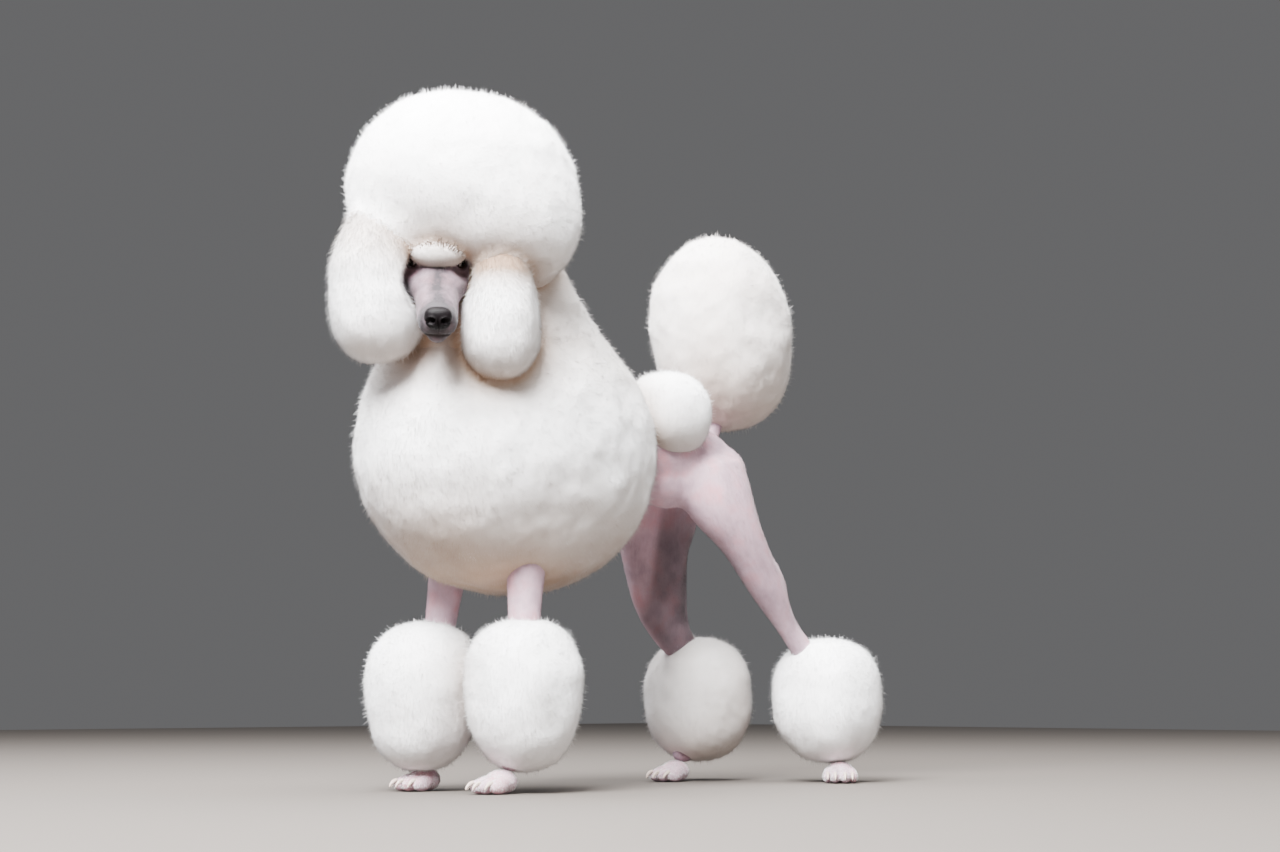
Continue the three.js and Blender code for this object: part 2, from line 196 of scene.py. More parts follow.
def soft_least(first: Array, second: Array, softness: float) -> Array:
    """The lesser of two distances, the crease between them filled by at most a quarter of the softness."""
    share = np.maximum(softness - np.abs(first - second), 0) / softness
    return np.minimum(first, second) - share * share * softness / 4


def soft_most(first: Array, second: Array, softness: float) -> Array:
    """The greater of two distances, with the edge between them rounded."""
    return -soft_least(-first, -second, softness)


def lattice_value(x: Array, y: Array, z: Array, seed: int) -> Array:
    """A fixed random number from -1 to 1 at each whole-numbered lattice point, by mixing its bits.

    Args:
        x: whole numbers along the first axis.
        y: the same along the second.
        z: the same along the third.
        seed: which table of numbers.

    Returns:
        One number for each lattice point.
    """
    mixed = (x * 73856093) ^ (y * 19349663) ^ (z * 83492791) ^ (seed * 2654435761)
    mixed = (mixed ^ (mixed >> 13)) * 1274126177 & 0xFFFFFFFF
    mixed = (mixed ^ (mixed >> 16)) & 0xFFFF
    return mixed / 32767.5 - 1


def noise(points: Array, grain: float, seed: int = 0) -> Array:
    """Smooth noise: lattice values a grain apart, blended by 6t^5 - 15t^4 + 10t^3 along each axis.

    Args:
        points: rows of x, y, z in millimetres.
        grain: the lattice spacing in millimetres.
        seed: which noise.

    Returns:
        One value from -1 to 1 for each point.
    """
    scaled = points / grain
    base = np.floor(scaled).astype(np.int64)
    part = scaled - base
    fade = part**3 * (part * (part * 6 - 15) + 10)
    total = np.zeros(len(points))
    for corner in range(8):
        step = np.array([corner & 1, corner >> 1 & 1, corner >> 2 & 1])
        weight = np.prod(np.where(step == 1, fade, 1 - fade), axis=1)
        place = base + step
        total += weight * lattice_value(place[:, 0], place[:, 1], place[:, 2], seed)
    return total


def noise_slope(points: Array, grain: float, seed: int = 0) -> Array:
    """The slope of the noise, by differences over a tenth of its grain, times the grain.

    Args:
        points: rows of x, y, z in millimetres.
        grain: the lattice spacing in millimetres.
        seed: which noise.

    Returns:
        One row of slopes for each point.
    """
    step = grain * 0.1
    here = noise(points, grain, seed)
    rises = [noise(points + step * axis, grain, seed) - here for axis in np.eye(3)]
    return np.stack(rises, axis=1) / 0.1


def along_table(stations: Array, places: Array) -> Array:
    """A smooth line through rows of numbers, by the Catmull-Rom formula.

    Args:
        stations: rows to pass through.
        places: how far along, from 0 at the first row to 1 at the last.

    Returns:
        A row for each place.
    """
    count = len(stations)
    ends = np.vstack([2 * stations[0] - stations[1], stations, 2 * stations[-1] - stations[-2]])
    scaled = np.clip(places, 0, 1) * (count - 1)
    span = np.minimum(scaled.astype(int), count - 2)
    t = (scaled - span)[:, None]
    a, b, c, d = (ends[span + number] for number in range(4))
    return b + 0.5 * t * (c - a + t * (2 * a - 5 * b + 4 * c - d + t * (3 * (b - c) + d - a)))


# Meshes


def grid_faces(rows: int, columns: int) -> Array:
    """The quads of a tube of rows of points, each row closed on itself.

    Args:
        rows: how many rings.
        columns: how many points in each.

    Returns:
        Rows of four corner numbers.
    """
    row, column = np.meshgrid(np.arange(rows - 1), np.arange(columns), indexing="ij")
    after = (column + 1) % columns
    here = row * columns
    corners = [here + column, here + after, here + columns + after, here + columns + column]
    return np.stack(corners, axis=-1).reshape(-1, 4)


def sphere_grid(rows: int, around: int, edge: float) -> tuple[Array, Array]:
    """A grid of directions over the sphere, from the foot up: angle from the top by turn about it.

    Args:
        rows: how many angles.
        around: how many turns.
        edge: how far from the top and the foot the grid ends, in radians.

    Returns:
        The angle from the top, and the directions (sin a cos t, sin a sin t, cos a).
    """
    angle = np.linspace(edge, math.pi - edge, rows)[::-1]
    turn = np.arange(around) * 2 * math.pi / around
    away, turned = np.meshgrid(angle, turn, indexing="ij")
    flat = np.sin(away)
    return away, np.stack([flat * np.cos(turned), flat * np.sin(turned), np.cos(away)], axis=-1)


def closed_tube(rings: Array) -> Shell:
    """A tube of rings with its two ends closed by fans to their middles.

    Args:
        rings: (rows, columns, 3) points, anticlockwise seen from the tube's far end.

    Returns:
        The points, and the quads and triangles.
    """
    rows, columns = rings.shape[:2]
    points = np.vstack([rings.reshape(-1, 3), rings[0].mean(axis=0), rings[-1].mean(axis=0)])
    first, last = rows * columns, rows * columns + 1
    column = np.arange(columns)
    after = (column + 1) % columns
    start = np.stack([np.full(columns, first), after, column], axis=1)
    base = (rows - 1) * columns
    end = np.stack([np.full(columns, last), base + column, base + after], axis=1)
    return points, [grid_faces(rows, columns), np.vstack([start, end])]


def mesh_of(name: str, points: Array, faces: Sequence[Array]) -> bpy.types.Mesh:
    """A mesh in the part's frame from points of the dog's frame.

    Args:
        name: the mesh's name.
        points: rows of x, y, z in millimetres.
        faces: one array of corner numbers for each number of corners.

    Returns:
        The mesh, with all its faces smooth.
    """
    mesh = bpy.data.meshes.new(name)
    mesh.vertices.add(len(points))
    mesh.vertices.foreach_set("co", PART.points(points).astype(np.float32).ravel())
    corners = np.concatenate([group.ravel() for group in faces]).astype(np.int32)
    totals = np.concatenate([np.full(len(group), group.shape[1]) for group in faces])
    starts = np.concatenate([[0], np.cumsum(totals)[:-1]]).astype(np.int32)
    mesh.loops.add(len(corners))
    mesh.loops.foreach_set("vertex_index", corners)
    mesh.polygons.add(len(totals))
    mesh.polygons.foreach_set("loop_start", starts)
    mesh.polygons.foreach_set("use_smooth", np.ones(len(totals), bool))
    mesh.update(calc_edges=True)
    return mesh


def set_attribute(mesh: bpy.types.Mesh, name: str, values: Array) -> None:
    """Keeps one number, or one vector, for each point of a mesh.

    Args:
        mesh: the mesh.
        name: what materials read it as.
        values: a number or a row of three for each point.
    """
    kind, key = ("FLOAT", "value") if values.ndim == 1 else ("FLOAT_VECTOR", "vector")
    made = mesh.attributes.new(name, kind, "POINT")
    made.data.foreach_set(key, values.astype(np.float32).ravel())


def set_map(mesh: bpy.types.Mesh, places: Array) -> None:
    """Gives a mesh the UV map for baking, from one place for each point.

    Args:
        mesh: the mesh.
        places: a row of two from 0 to 1 for each point.
    """
    layer = mesh.uv_layers.new(name="OFBake")
    corners = read(mesh.loops, "vertex_index", kind=np.int32)
    layer.data.foreach_set("uv", places[corners].astype(np.float32).ravel())


def points_of(mesh: bpy.types.Mesh) -> Array:
    """A mesh's points, back in the dog's frame in millimetres."""
    return PART.back((read(mesh.vertices, "co", 3) - PART.shift) / MM)


def normals_of(mesh: bpy.types.Mesh) -> Array:
    """The outward directions at a mesh's points, in the dog's frame."""
    return PART.back(read(mesh.vertex_normals, "vector", 3))


def add_object(name: str, data: bpy.types.ID) -> bpy.types.Object:
    """A new object in the scene, at the origin.

    Args:
        name: its name.
        data: its mesh, lamp or camera.

    Returns:
        The object.
    """
    made = bpy.data.objects.new(name, data)
    bpy.context.scene.collection.objects.link(made)
    return made


def show(name: str, mesh: bpy.types.Mesh, material: bpy.types.Material) -> bpy.types.Object:
    """Puts a finished mesh in the scene as a piece that rides on the dog.

    Args:
        name: the piece's name.
        mesh: its mesh, in the part's frame.
        material: its finish.

    Returns:
        The new object, at the origin.
    """
    mesh.materials.clear()
    mesh.materials.append(material)
    piece = add_object(name, mesh)
    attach(piece, BODY)
    log.info("%s: %d faces", name, len(mesh.polygons))
    return piece


def joined(shells: Sequence[Shell]) -> tuple[Array, list[Array], Array]:
    """Shells as one list of points, their faces, and where each shell's points start, with the end last.

    Args:
        shells: points and faces of each shell.

    Returns:
        The points, the faces and the starts.
    """
    starts = np.concatenate([[0], np.cumsum([len(points) for points, _ in shells])])
    faces = [group + start for (_, groups), start in zip(shells, starts) for group in groups]
    return np.vstack([points for points, _ in shells]), faces, starts


def fused(name: str, shells: Sequence[Shell], voxel: float, rounds: int) -> bpy.types.Mesh:
    """Overlapping closed shells as one skin: remeshed in voxels, then smoothed so that the joins flow.

    Args:
        name: the mesh's name.
        shells: points and faces of each shell.
        voxel: the voxel's size in millimetres.
        rounds: how often each point moves half way to the middle of its neighbours.

    Returns:
        The one mesh.
    """
    points, faces, _ = joined(shells)
    draft = add_object(name, mesh_of(name + "_draft", points, faces))
    remesh = draft.modifiers.new("voxels", "REMESH")
    remesh.mode = "VOXEL"
    remesh.voxel_size = voxel * MM
    relax = draft.modifiers.new("relax", "SMOOTH")
    relax.factor = 0.5
    relax.iterations = rounds
    graph = bpy.context.evaluated_depsgraph_get()
    mesh = bpy.data.meshes.new_from_object(draft.evaluated_get(graph))
    old = draft.data
    bpy.data.objects.remove(draft)
    bpy.data.meshes.remove(old)
    mesh.polygons.foreach_set("use_smooth", np.ones(len(mesh.polygons), bool))
    mesh.update()
    return mesh


def faces_of(mesh: bpy.types.Mesh) -> list[Array]:
    """A mesh's faces as arrays, one for each number of corners.

    Args:
        mesh: the mesh.

    Returns:
        Rows of corner numbers.
    """
    totals = read(mesh.polygons, "loop_total", kind=np.int32)
    starts = read(mesh.polygons, "loop_start", kind=np.int32)
    corners = read(mesh.loops, "vertex_index", kind=np.int32)
    return [corners[starts[totals == total][:, None] + np.arange(total)] for total in np.unique(totals)]


# Finishes


def colour(code: str) -> tuple[float, float, float, float]:
    """An sRGB hex value as the linear colour that nodes take.

    Args:
        code: a hash and six hex digits.

    Returns:
        Red, green, blue and an alpha of 1.
    """
    shares = [int(code[start:start + 2], 16) / 255 for start in (1, 3, 5)]
    linear = [share / 12.92 if share <= 0.04045 else ((share + 0.055) / 1.055) ** 2.4 for share in shares]
    return (*linear, 1.0)


def add_node(
        tree: bpy.types.NodeTree, kind: str, inputs: dict[str, object] | None = None,
        **settings: object) -> bpy.types.Node:
    """Adds one node.

    Args:
        tree: the material's tree.
        kind: the node's type, without the word ShaderNode.
        inputs: for each socket's name or number, a value or another node's output.
        settings: the node's own settings by name.

    Returns:
        The node.
    """
    node = tree.nodes.new("ShaderNode" + kind)
    for key, value in settings.items():
        setattr(node, key, value)
    for key, value in (inputs or {}).items():
        if isinstance(value, bpy.types.NodeSocket):
            tree.links.new(value, node.inputs[key])
        else:
            node.inputs[key].default_value = value
    return node


def spread(ramp: bpy.types.Node, stops: Sequence[tuple[float, str]]) -> bpy.types.NodeSocket:
    """Sets a ramp's places and colours, and gives the socket that they come out of.

    Args:
        ramp: the ramp's node.
        stops: each place from 0 to 1 with its sRGB hex value.

    Returns:
        The colour's socket.
    """
    elements = ramp.color_ramp.elements
    while len(elements) < len(stops):
        elements.new(0.5)
    for element, (place, code) in zip(elements, stops):
        element.position = place
        element.color = colour(code)
    return ramp.outputs["Color"]


class Finish:
    """What every finish shares: a new material with one Principled shader."""

    name: str

    def begin(
            self, sockets: dict[str, object]) -> tuple[bpy.types.Material, bpy.types.NodeTree, bpy.types.Node]:
        """A new material, its tree and its shader, with the values of the shader's own sockets set.

        Args:
            sockets: values by the names of the shader's sockets.

        Returns:
            The material, the tree and the shader.
        """
        material = bpy.data.materials.new(self.name)
        material.use_nodes = True
        tree = material.node_tree
        tree.nodes.clear()
        shader = add_node(tree, "BsdfPrincipled", sockets)
        add_node(tree, "OutputMaterial", {"Surface": shader.outputs[0]})
        return material, tree, shader


@dataclass(frozen=True)
class BrushedHair(Finish):
    """Poodle hair, washed, blown dry and scissored: matt white, faintly beige deep down, softly lit, with a
    brownish tint mixed in for its own tint and for painted shade.
    """

    name: str = "white_poodle_hair"
    tip: str = "#F9FBFF"
    middle: str = "#F7F7F8"
    deep: str = "#E8DBD0"
    # The brownish tint, used for the hair's own tint and for painted shade
    cream: str = "#947A66"
    sheen: float = 0.3

    def build(self) -> bpy.types.Material:
        """Colour from root to tip by one attribute, and a brownish tint, the hair's own and painted shade, by
        another.

        Returns:
            The material.
        """
        material, tree, shader = self.begin({
            "Roughness": 0.9, "Specular IOR Level": 0.2, "Sheen Weight": self.sheen, "Sheen Roughness": 0.5})
        height = add_node(tree, "Attribute", attribute_name="height").outputs["Fac"]
        cream_and_shade_share = add_node(tree, "Attribute", attribute_name="cream").outputs["Fac"]
        ramp = add_node(tree, "ValToRGB", {"Fac": height})
        white = spread(ramp, [(0.0, self.deep), (0.45, self.middle), (1.0, self.tip)])
        # Mixes in the brownish tint by its share, which holds painted shade as well as the hair's own tint
        mixed = add_node(tree, "Mix", {"Factor": cream_and_shade_share, "A": white, "B": colour(self.cream)}, data_type="RGBA")
        tree.links.new(mixed.outputs["Result"], shader.inputs["Base Color"])
        return material


@dataclass(frozen=True)
class ClippedSkin(Finish):
    """Skin under very short clipped white hair: blotched pink, pale and mauve, grey on the muzzle, with
    painted shade on the legs' inner sides and the face's sides.

    A clipped hair is about 0.1 mm thick, too fine to show, so its bump is drawn 1.1 mm wide.
    """

    name: str = "clipped_skin"
    pale: str = "#B495A2"
    pink: str = "#BB858F"
    mauve: str = "#927886"
    # Also painted shade, on the legs' inner sides and the face's sides
    grey: str = "#272126"
    # Also painted shade, at the mouth's and the eyes' inner corners
    lip: str = "#1D1013"
    fuzz: str = "#C8B4BE"
    blotch_mm: float = 34.0
    hair_mm: float = 1.1

    def build(self) -> bpy.types.Material:
        """Colour zones by attributes, blotches by noise, and short hair as bump.

        Returns:
            The material.
        """
        material, tree, shader = self.begin({
            "Roughness": 0.72, "Subsurface Weight": 0.08, "Subsurface Radius": (1.0, 0.55, 0.45),
            "Subsurface Scale": 0.006, "Sheen Weight": 0.1, "Sheen Roughness": 0.4})
        place = add_node(tree, "TexCoord").outputs["Object"]
        blotch = add_node(
            tree, "TexNoise", {"Vector": place, "Scale": 1 / (self.blotch_mm * MM), "Detail": 2.0})
        ramp = add_node(tree, "ValToRGB", {"Fac": blotch.outputs["Fac"]})
        base = spread(ramp, [(0.25, self.pink), (0.5, self.pale), (0.8, self.mauve)])
        lie = add_node(tree, "Attribute", attribute_name="lie").outputs["Vector"]
        patch = add_node(tree, "TexNoise", {"Vector": lie, "Scale": 1 / (5 * self.hair_mm), "Detail": 4.0})
        ramp = add_node(tree, "ValToRGB", {"Fac": patch.outputs["Fac"]})
        share = spread(ramp, [(0.45, "#000000"), (0.75, "#777777")])
        downy = add_node(tree, "Mix", {"Factor": share, "A": base, "B": colour(self.fuzz)}, data_type="RGBA")
        tone = downy.outputs["Result"]
        # The grey and dark zones include painted shade as well as the skin's own colour
        for zone, code in (("grey", self.grey), ("dark", self.lip)):
            much = add_node(tree, "Attribute", attribute_name=zone).outputs["Fac"]
            mixed = add_node(tree, "Mix", {"Factor": much, "A": tone, "B": colour(code)}, data_type="RGBA")
            tone = mixed.outputs["Result"]
        tree.links.new(tone, shader.inputs["Base Color"])
        hair = add_node(tree, "TexNoise", {"Vector": lie, "Scale": 1 / self.hair_mm, "Detail": 3.0})
        bump = add_node(tree, "Bump", {"Height": hair.outputs["Fac"], "Strength": 0.35, "Distance": 0.0012})
        tree.links.new(bump.outputs["Normal"], shader.inputs["Normal"])
        return material


@dataclass(frozen=True)
class NoseLeather(Finish):
    """A dog's nose leather: near black, a little damp, in raised pebbles of about their real 1.3 mm."""

    name: str = "nose_leather"
    dark: str = "#050304"
    light: str = "#151013"
    pebble_mm: float = 1.3

    def build(self) -> bpy.types.Material:
        """Pebbles from cells, a little lighter on their tops and darker in the grooves between them: painted
        shade.

        Returns:
            The material.
        """
        material, tree, shader = self.begin({"Roughness": 0.5, "Specular IOR Level": 0.08})
        place = add_node(tree, "TexCoord").outputs["Object"]
        cells = add_node(tree, "TexVoronoi", {"Vector": place, "Scale": 1 / (self.pebble_mm * MM)})
        ramp = add_node(tree, "ValToRGB", {"Fac": cells.outputs["Distance"]})
        # Painted shade: darker in the grooves between the pebbles
        tone = spread(ramp, [(0.0, self.light), (0.6, self.dark)])
        tree.links.new(tone, shader.inputs["Base Color"])
        height = {"Height": cells.outputs["Distance"], "Strength": 0.5, "Distance": 0.0005}
        bump = add_node(tree, "Bump", height, invert=True)
        tree.links.new(bump.outputs["Normal"], shader.inputs["Normal"])
        return material


@dataclass(frozen=True)
class WetEye(Finish):
    """A dark brown eye under a wet cornea: one glossy surface with the iris and pupil in its colour."""

    name: str = "wet_brown_eye"
    pupil: str = "#050303"
    iris: str = "#3A2013"
    rim: str = "#120A08"

    def build(self) -> bpy.types.Material:
        """Pupil, iris and rim by the angle from where the eye looks.

        Returns:
            The material.
        """
        material, tree, shader = self.begin({
            "Roughness": 0.06, "IOR": 1.38, "Coat Weight": 0.6, "Coat Roughness": 0.03})
        gaze = add_node(tree, "Attribute", attribute_name="gaze").outputs["Fac"]
        ramp = add_node(tree, "ValToRGB", {"Fac": gaze})
        tone = spread(ramp, [(0.0, self.pupil), (0.2, self.pupil), (0.26, self.iris), (0.62, self.rim)])
        tree.links.new(tone, shader.inputs["Base Color"])
        return material


@dataclass(frozen=True)
class ClawHorn(Finish):
    """Pale horn: streaked with brown along the claw, with a dull polish from walking."""

    name: str = "claw_horn"
    pale: str = "#CDBCB2"
    brown: str = "#A08C82"
    streak_mm: float = 0.8

    def build(self) -> bpy.types.Material:
        """Streaks stretched along the claw's own map.

        Returns:
            The material.
        """
        material, tree, shader = self.begin({"Roughness": 0.42})
        lie = add_node(tree, "Attribute", attribute_name="lie").outputs["Vector"]
        streaks = add_node(tree, "TexNoise", {"Vector": lie, "Scale": 1 / self.streak_mm, "Detail": 2.0})
        ramp = add_node(tree, "ValToRGB", {"Fac": streaks.outputs["Fac"]})
        tree.links.new(spread(ramp, [(0.35, self.brown), (0.65, self.pale)]), shader.inputs["Base Color"])
        return material


@dataclass(frozen=True)
class StudioFloor(Finish):
    """Matt painted board, plain and pale."""

    name: str = "pale_floor"
    tone: str = "#504A45"
    grain_mm: float = 60.0

    def build(self) -> bpy.types.Material:
        """A faint roller texture as bump, far wider than the real one so that it shows at all.

        Returns:
            The material.
        """
        material, tree, shader = self.begin({"Base Color": colour(self.tone), "Roughness": 0.8})
        place = add_node(tree, "TexCoord").outputs["Object"]
        scale = 1 / (self.grain_mm * MM)
        grain = add_node(tree, "TexNoise", {"Vector": place, "Scale": scale, "Detail": 5.0})
        bump = add_node(tree, "Bump", {"Height": grain.outputs["Fac"], "Strength": 0.05, "Distance": 0.002})
        tree.links.new(bump.outputs["Normal"], shader.inputs["Normal"])
        return material


# The coat


@dataclass(frozen=True)
class Puff:
    """One scissored form of the coat: an ellipsoid, fuller at its shoulders by a power over 2, or tapered.

    Node is the solid it replaces, half its half sizes, turn its own frame and flow the way its hair is
    combed. Hair is the tufts' length, ruffle the height of its waves and fine how much thinner and closer
    its tufts are. The brownish tint all over is cream, partly painted shade; crown is painted shade at its top
    and under painted shade below.
    """

    name: str
    node: str | None
    centre: tuple[float, float, float]
    half: tuple[float, float, float]
    taper: float = 0.0
    power: float = 2.2
    turn: Array = field(default_factory=lambda: np.eye(3))
    flow: tuple[float, float, float] = (0.0, 0.0, 0.0)
    hair: float = 10.0
    # The tint all over is partly painted shade; the tints at the top and below are painted shade.
    cream: float = 0.0
    crown_shade: float = 0.0
    under: float = 0.32
    ruffle: float = 2.4
    fine: float = 1.0

    def points(self, directions: Array, reach: float = 1.0) -> Array:
        """Points of the form: half sizes times the direction over its power norm, swollen by height.

        Args:
            directions: rows that are one long, in the form's own frame.
            reach: 1 on the surface, less inside.

        Returns:
            Points in the dog's frame.
        """
        share = directions / (np.abs(directions) ** self.power).sum(axis=1, keepdims=True) ** (1 / self.power)
        swell = 1 + self.taper * share[:, 2:]
        local = np.hstack([share[:, :2] * swell, share[:, 2:]]) * np.array(self.half) * reach
        return local @ self.turn.T + np.array(self.centre)

    def distance(self, points: Array) -> Array:
        """How far points lie outside the form along the ray from its middle, less than 0 inside.

        With g the power norm of the point over the half sizes, that is its distance times 1 - 1/g.

        Args:
            points: rows of x, y, z in the dog's frame.

        Returns:
            Millimetres for each point.
        """
        away = points - np.array(self.centre)
        share = (away @ self.turn) / np.array(self.half)
        swell = 1 + self.taper * np.clip(share[:, 2:], -1, 1)
        share = np.hstack([share[:, :2] / swell, share[:, 2:]])
        norm = (np.abs(share) ** self.power).sum(axis=1) ** (1 / self.power)
        return np.linalg.norm(away, axis=1) * (1 - 1 / np.maximum(norm, 0.05))


def spread_directions(count: int) -> Array:
    """Directions spaced evenly over the sphere, on a golden spiral.

    Args:
        count: how many.

    Returns:
        Rows that are one long.
    """
    number = np.arange(count)
    height = 1 - (2 * number + 1) / count
    wide = np.sqrt(1 - height * height)
    around = number * GOLDEN_ANGLE
    return np.stack([wide * np.cos(around), wide * np.sin(around), height], axis=1)


def sphere_chart(directions: Array) -> Array:
    """The equal-area chart of directions: turn about the axis across, height up, both from 0 to 1."""
    across = np.arctan2(directions[:, 1], directions[:, 0]) / (2 * math.pi) % 1.0
    return np.stack([across, (1 + directions[:, 2]) / 2], axis=1)


def three_ways(side: Array, deep: Array) -> list[Array]:
    """Three directions a third of a turn apart, from two that are square to each other."""
    angles = [number * 2 * math.pi / 3 for number in range(3)]
    return [side * math.cos(angle) + deep * math.sin(angle) for angle in angles]


def spike_mesh(name: str, points: Array, light: Array, places: Array, cream: Array) -> bpy.types.Mesh:
    """One mesh of spikes, with a small patch of the map for each.

    Args:
        name: the mesh's name.
        points: (count, 4, 3): three points round each root, and the tip.
        light: the normals that the light sees, the same shape.
        places: each root's place on the map.
        cream: each spike's share of the brownish tint, its own and painted shade.

    Returns:
        The mesh, four triangles to a spike.
    """
    count = len(points)
    spike = np.array([[0, 2, 1], [0, 1, 3], [1, 2, 3], [2, 0, 3]])
    faces = (np.arange(count)[:, None, None] * 4 + spike).reshape(-1, 3)
    mesh = mesh_of(name, points.reshape(-1, 3), [faces])
    patch = np.array([[-1, -1], [1, -1], [0, -0.133], [0, 1]]) * PATCH / 2
    set_map(mesh, (places[:, None] * (1 - 2 * MARGIN) + MARGIN + patch).reshape(-1, 2))
    set_attribute(mesh, "height", np.tile([0.0, 0.0, 0.0, 1.0], count))
    # The brownish tint, partly painted shade
    set_attribute(mesh, "cream", np.repeat(cream, 4))
    mesh.normals_split_custom_set_from_vertices(PART.vectors(light.reshape(-1, 3)))
    return mesh


@dataclass(frozen=True)
class Seam:
    """How softly two neighbouring forms of the coat run into each other, in millimetres."""

    first: str
    second: str
    softness: float


@dataclass
class Coat:
    """The whole coat: an undercoat for each form and thin tufts over it, combed clear of the face."""

    puffs: list[Puff]
    seams: list[Seam]
    clear: Puff
    cleared: tuple[str, ...] = ("ear_right", "ear_left", "fall", "topknot")
    tufts_per_cm2: float = 16.5
    tuft_width: float = 2.25
    undercoat_depth: float = 2.8
    undercoat_step: float = 8.0
    most_tufts: int = 48000
    deepest_tip: float = 16.0
    flowing_softness: float = 20.0
    melting_softness: float = 45.0
    # How far the painted shade in the creases between forms reaches
    shade_fold_reach: float = 28.0
    surface_slack: float = 1.5
    jitter: float = 0.13
    stray_share: float = 0.18
    stray_rise: float = 8.0
    seed: int = 7

    def neighbours(self, puff: Puff) -> list[tuple[Puff, float]]:
        """The forms that a form meets, with the softness of each meeting.

        Args:
            puff: the form.

        Returns:
            Each neighbour with its softness.
        """
        named = {other.name: other for other in self.puffs}
        found = []
        for seam in self.seams:
            if puff.name in (seam.first, seam.second):
                other = seam.second if puff.name == seam.first else seam.first
                found.append((named[other], seam.softness))
        return found

    def carved(self, puff: Puff, points: Array, distance: Array) -> Array:
        """A form's distance with the room round the face taken out of it, if it hangs over the face.

        Args:
            puff: the form.
            points: rows of x, y, z in the dog's frame.
            distance: how far each lies from the form.

        Returns:
            The distance with the room taken out.
        """
        if puff.name not in self.cleared:
            return distance
        return soft_most(distance, -self.clear.distance(points), 8)

    def distance(self, puff: Puff, points: Array) -> Array:
        """The distance to a form and its neighbours, blended softly, and less the room round the face.

        Args:
            puff: the form.
            points: rows of x, y, z in the dog's frame.

        Returns:
            Millimetres for each point, less than 0 inside.
        """
        total = puff.distance(points)
        for other, softness in self.neighbours(puff):
            total = soft_least(total, other.distance(points), softness)
        return self.carved(puff, points, total)

    def surface(self, puff: Puff, directions: Array, depth: float = 0.0) -> Array:
        """Points on the blended surface, found by stepping along the rays from the form's middle.

        Args:
            puff: the form.
            directions: rows that are one long, in the form's own frame.
            depth: how far under the surface.

        Returns:
            Points in the dog's frame, at most a quarter of the softness outside the form's own surface.
        """
        start = puff.points(directions)
        centre = np.array(puff.centre)
        ray = unit(start - centre)
        own = np.linalg.norm(start - centre, axis=1)
        room = max([softness / 4 for _, softness in self.neighbours(puff)], default=0.0)
        reach = own - depth
        for _ in range(8):
            short = self.distance(puff, centre + ray * reach[:, None]) + depth
            reach = np.clip(reach - 0.8 * short, own * 0.2, own + room)
        return centre + ray * reach[:, None]

    def normals(self, puff: Puff, points: Array) -> Array:
        """Outward directions: the slope of the blended distance, by differences over 2 mm.

        Args:
            puff: the form.
            points: rows of x, y, z in the dog's frame.

        Returns:
            Rows that are one long.
        """
        ahead = [self.distance(puff, points + axis) for axis in np.eye(3)]
        behind = [self.distance(puff, points - axis) for axis in np.eye(3)]
        return unit(np.stack(ahead, axis=1) - np.stack(behind, axis=1))

    def owned(self, puff: Puff, points: Array) -> Array:
        """Which points are nearer this form than any that it flows into, and not deep in another.

        Args:
            puff: the form.
            points: rows of x, y, z in the dog's frame.

        Returns:
            True for each point that stays with the form.
        """
        own = puff.distance(points)
        kept = np.ones(len(points), bool)
        meetings = {other.name: softness for other, softness in self.neighbours(puff)}
        for other in self.puffs:
            if other is puff:
                continue
            away = self.carved(other, points, other.distance(points))
            softness = meetings.get(other.name, 0.0)
            if softness > self.flowing_softness:
                kept &= own <= away + min(softness / 4, 6.5)
            else:
                kept &= away > -self.deepest_tip
        return kept

    def stain_and_shade(self, puff: Puff, points: Array, normals: Array) -> Array:
        """How much brownish tint the hair has: the form's own, partly painted shade, with painted shade under
        the form, at its top and by e^(-d/reach) in the creases against others.

        Args:
            puff: the form.
            points: where the hair is.
            normals: which way its surface faces there.

        Returns:
            The share of the brownish tint, partly painted shade, at each point, from 0 to 1.
        """
        # Painted shade where the form faces down
        under = puff.under * smooth_step(-0.1, 0.95, -normals[:, 2])
        # Painted shade over the form's top, under the forms that overhang it
        height = ((points - np.array(puff.centre)) @ puff.turn[:, 2]) / puff.half[2]
        crown_shade = puff.crown_shade * smooth_step(0.0, 0.9, height)
        # Painted shade in the creases against other forms, fading with distance from them
        fold_shade = np.zeros(len(points))
        meetings = self.neighbours(puff)
        melting = {other.name for other, softness in meetings if softness > self.melting_softness}
        for other in self.puffs:
            if other is not puff and other.name not in melting:
                fold_shade = np.maximum(fold_shade, np.exp(-np.maximum(other.distance(points), 0) / self.shade_fold_reach))
        # The form's own tint, partly painted shade, the painted shade above, and a faint random tint
        return np.clip(puff.cream + crown_shade + under + 0.75 * fold_shade + 0.06 * noise(points, 60, 5), 0, 1)

    def roots(self, puff: Puff, random: np.random.Generator) -> Array:
        """Directions of the tufts' roots, even over the form's own area.

        The spiral is even over the sphere, so each direction is kept with a chance that follows the area of
        surface in it: the distance squared over the cosine between ray and normal.

        Args:
            puff: the form.
            random: the form's own random numbers.

        Returns:
            Rows that are one long, in the form's own frame.
        """
        trial = spread_directions(4000)
        count = int(self.area(puff, trial).max() * 4 * math.pi / 100 * self.tufts_per_cm2 * puff.fine)
        directions = spread_directions(count)
        weight = self.area(puff, directions)
        return directions[random.random(count) < weight / weight.max()]

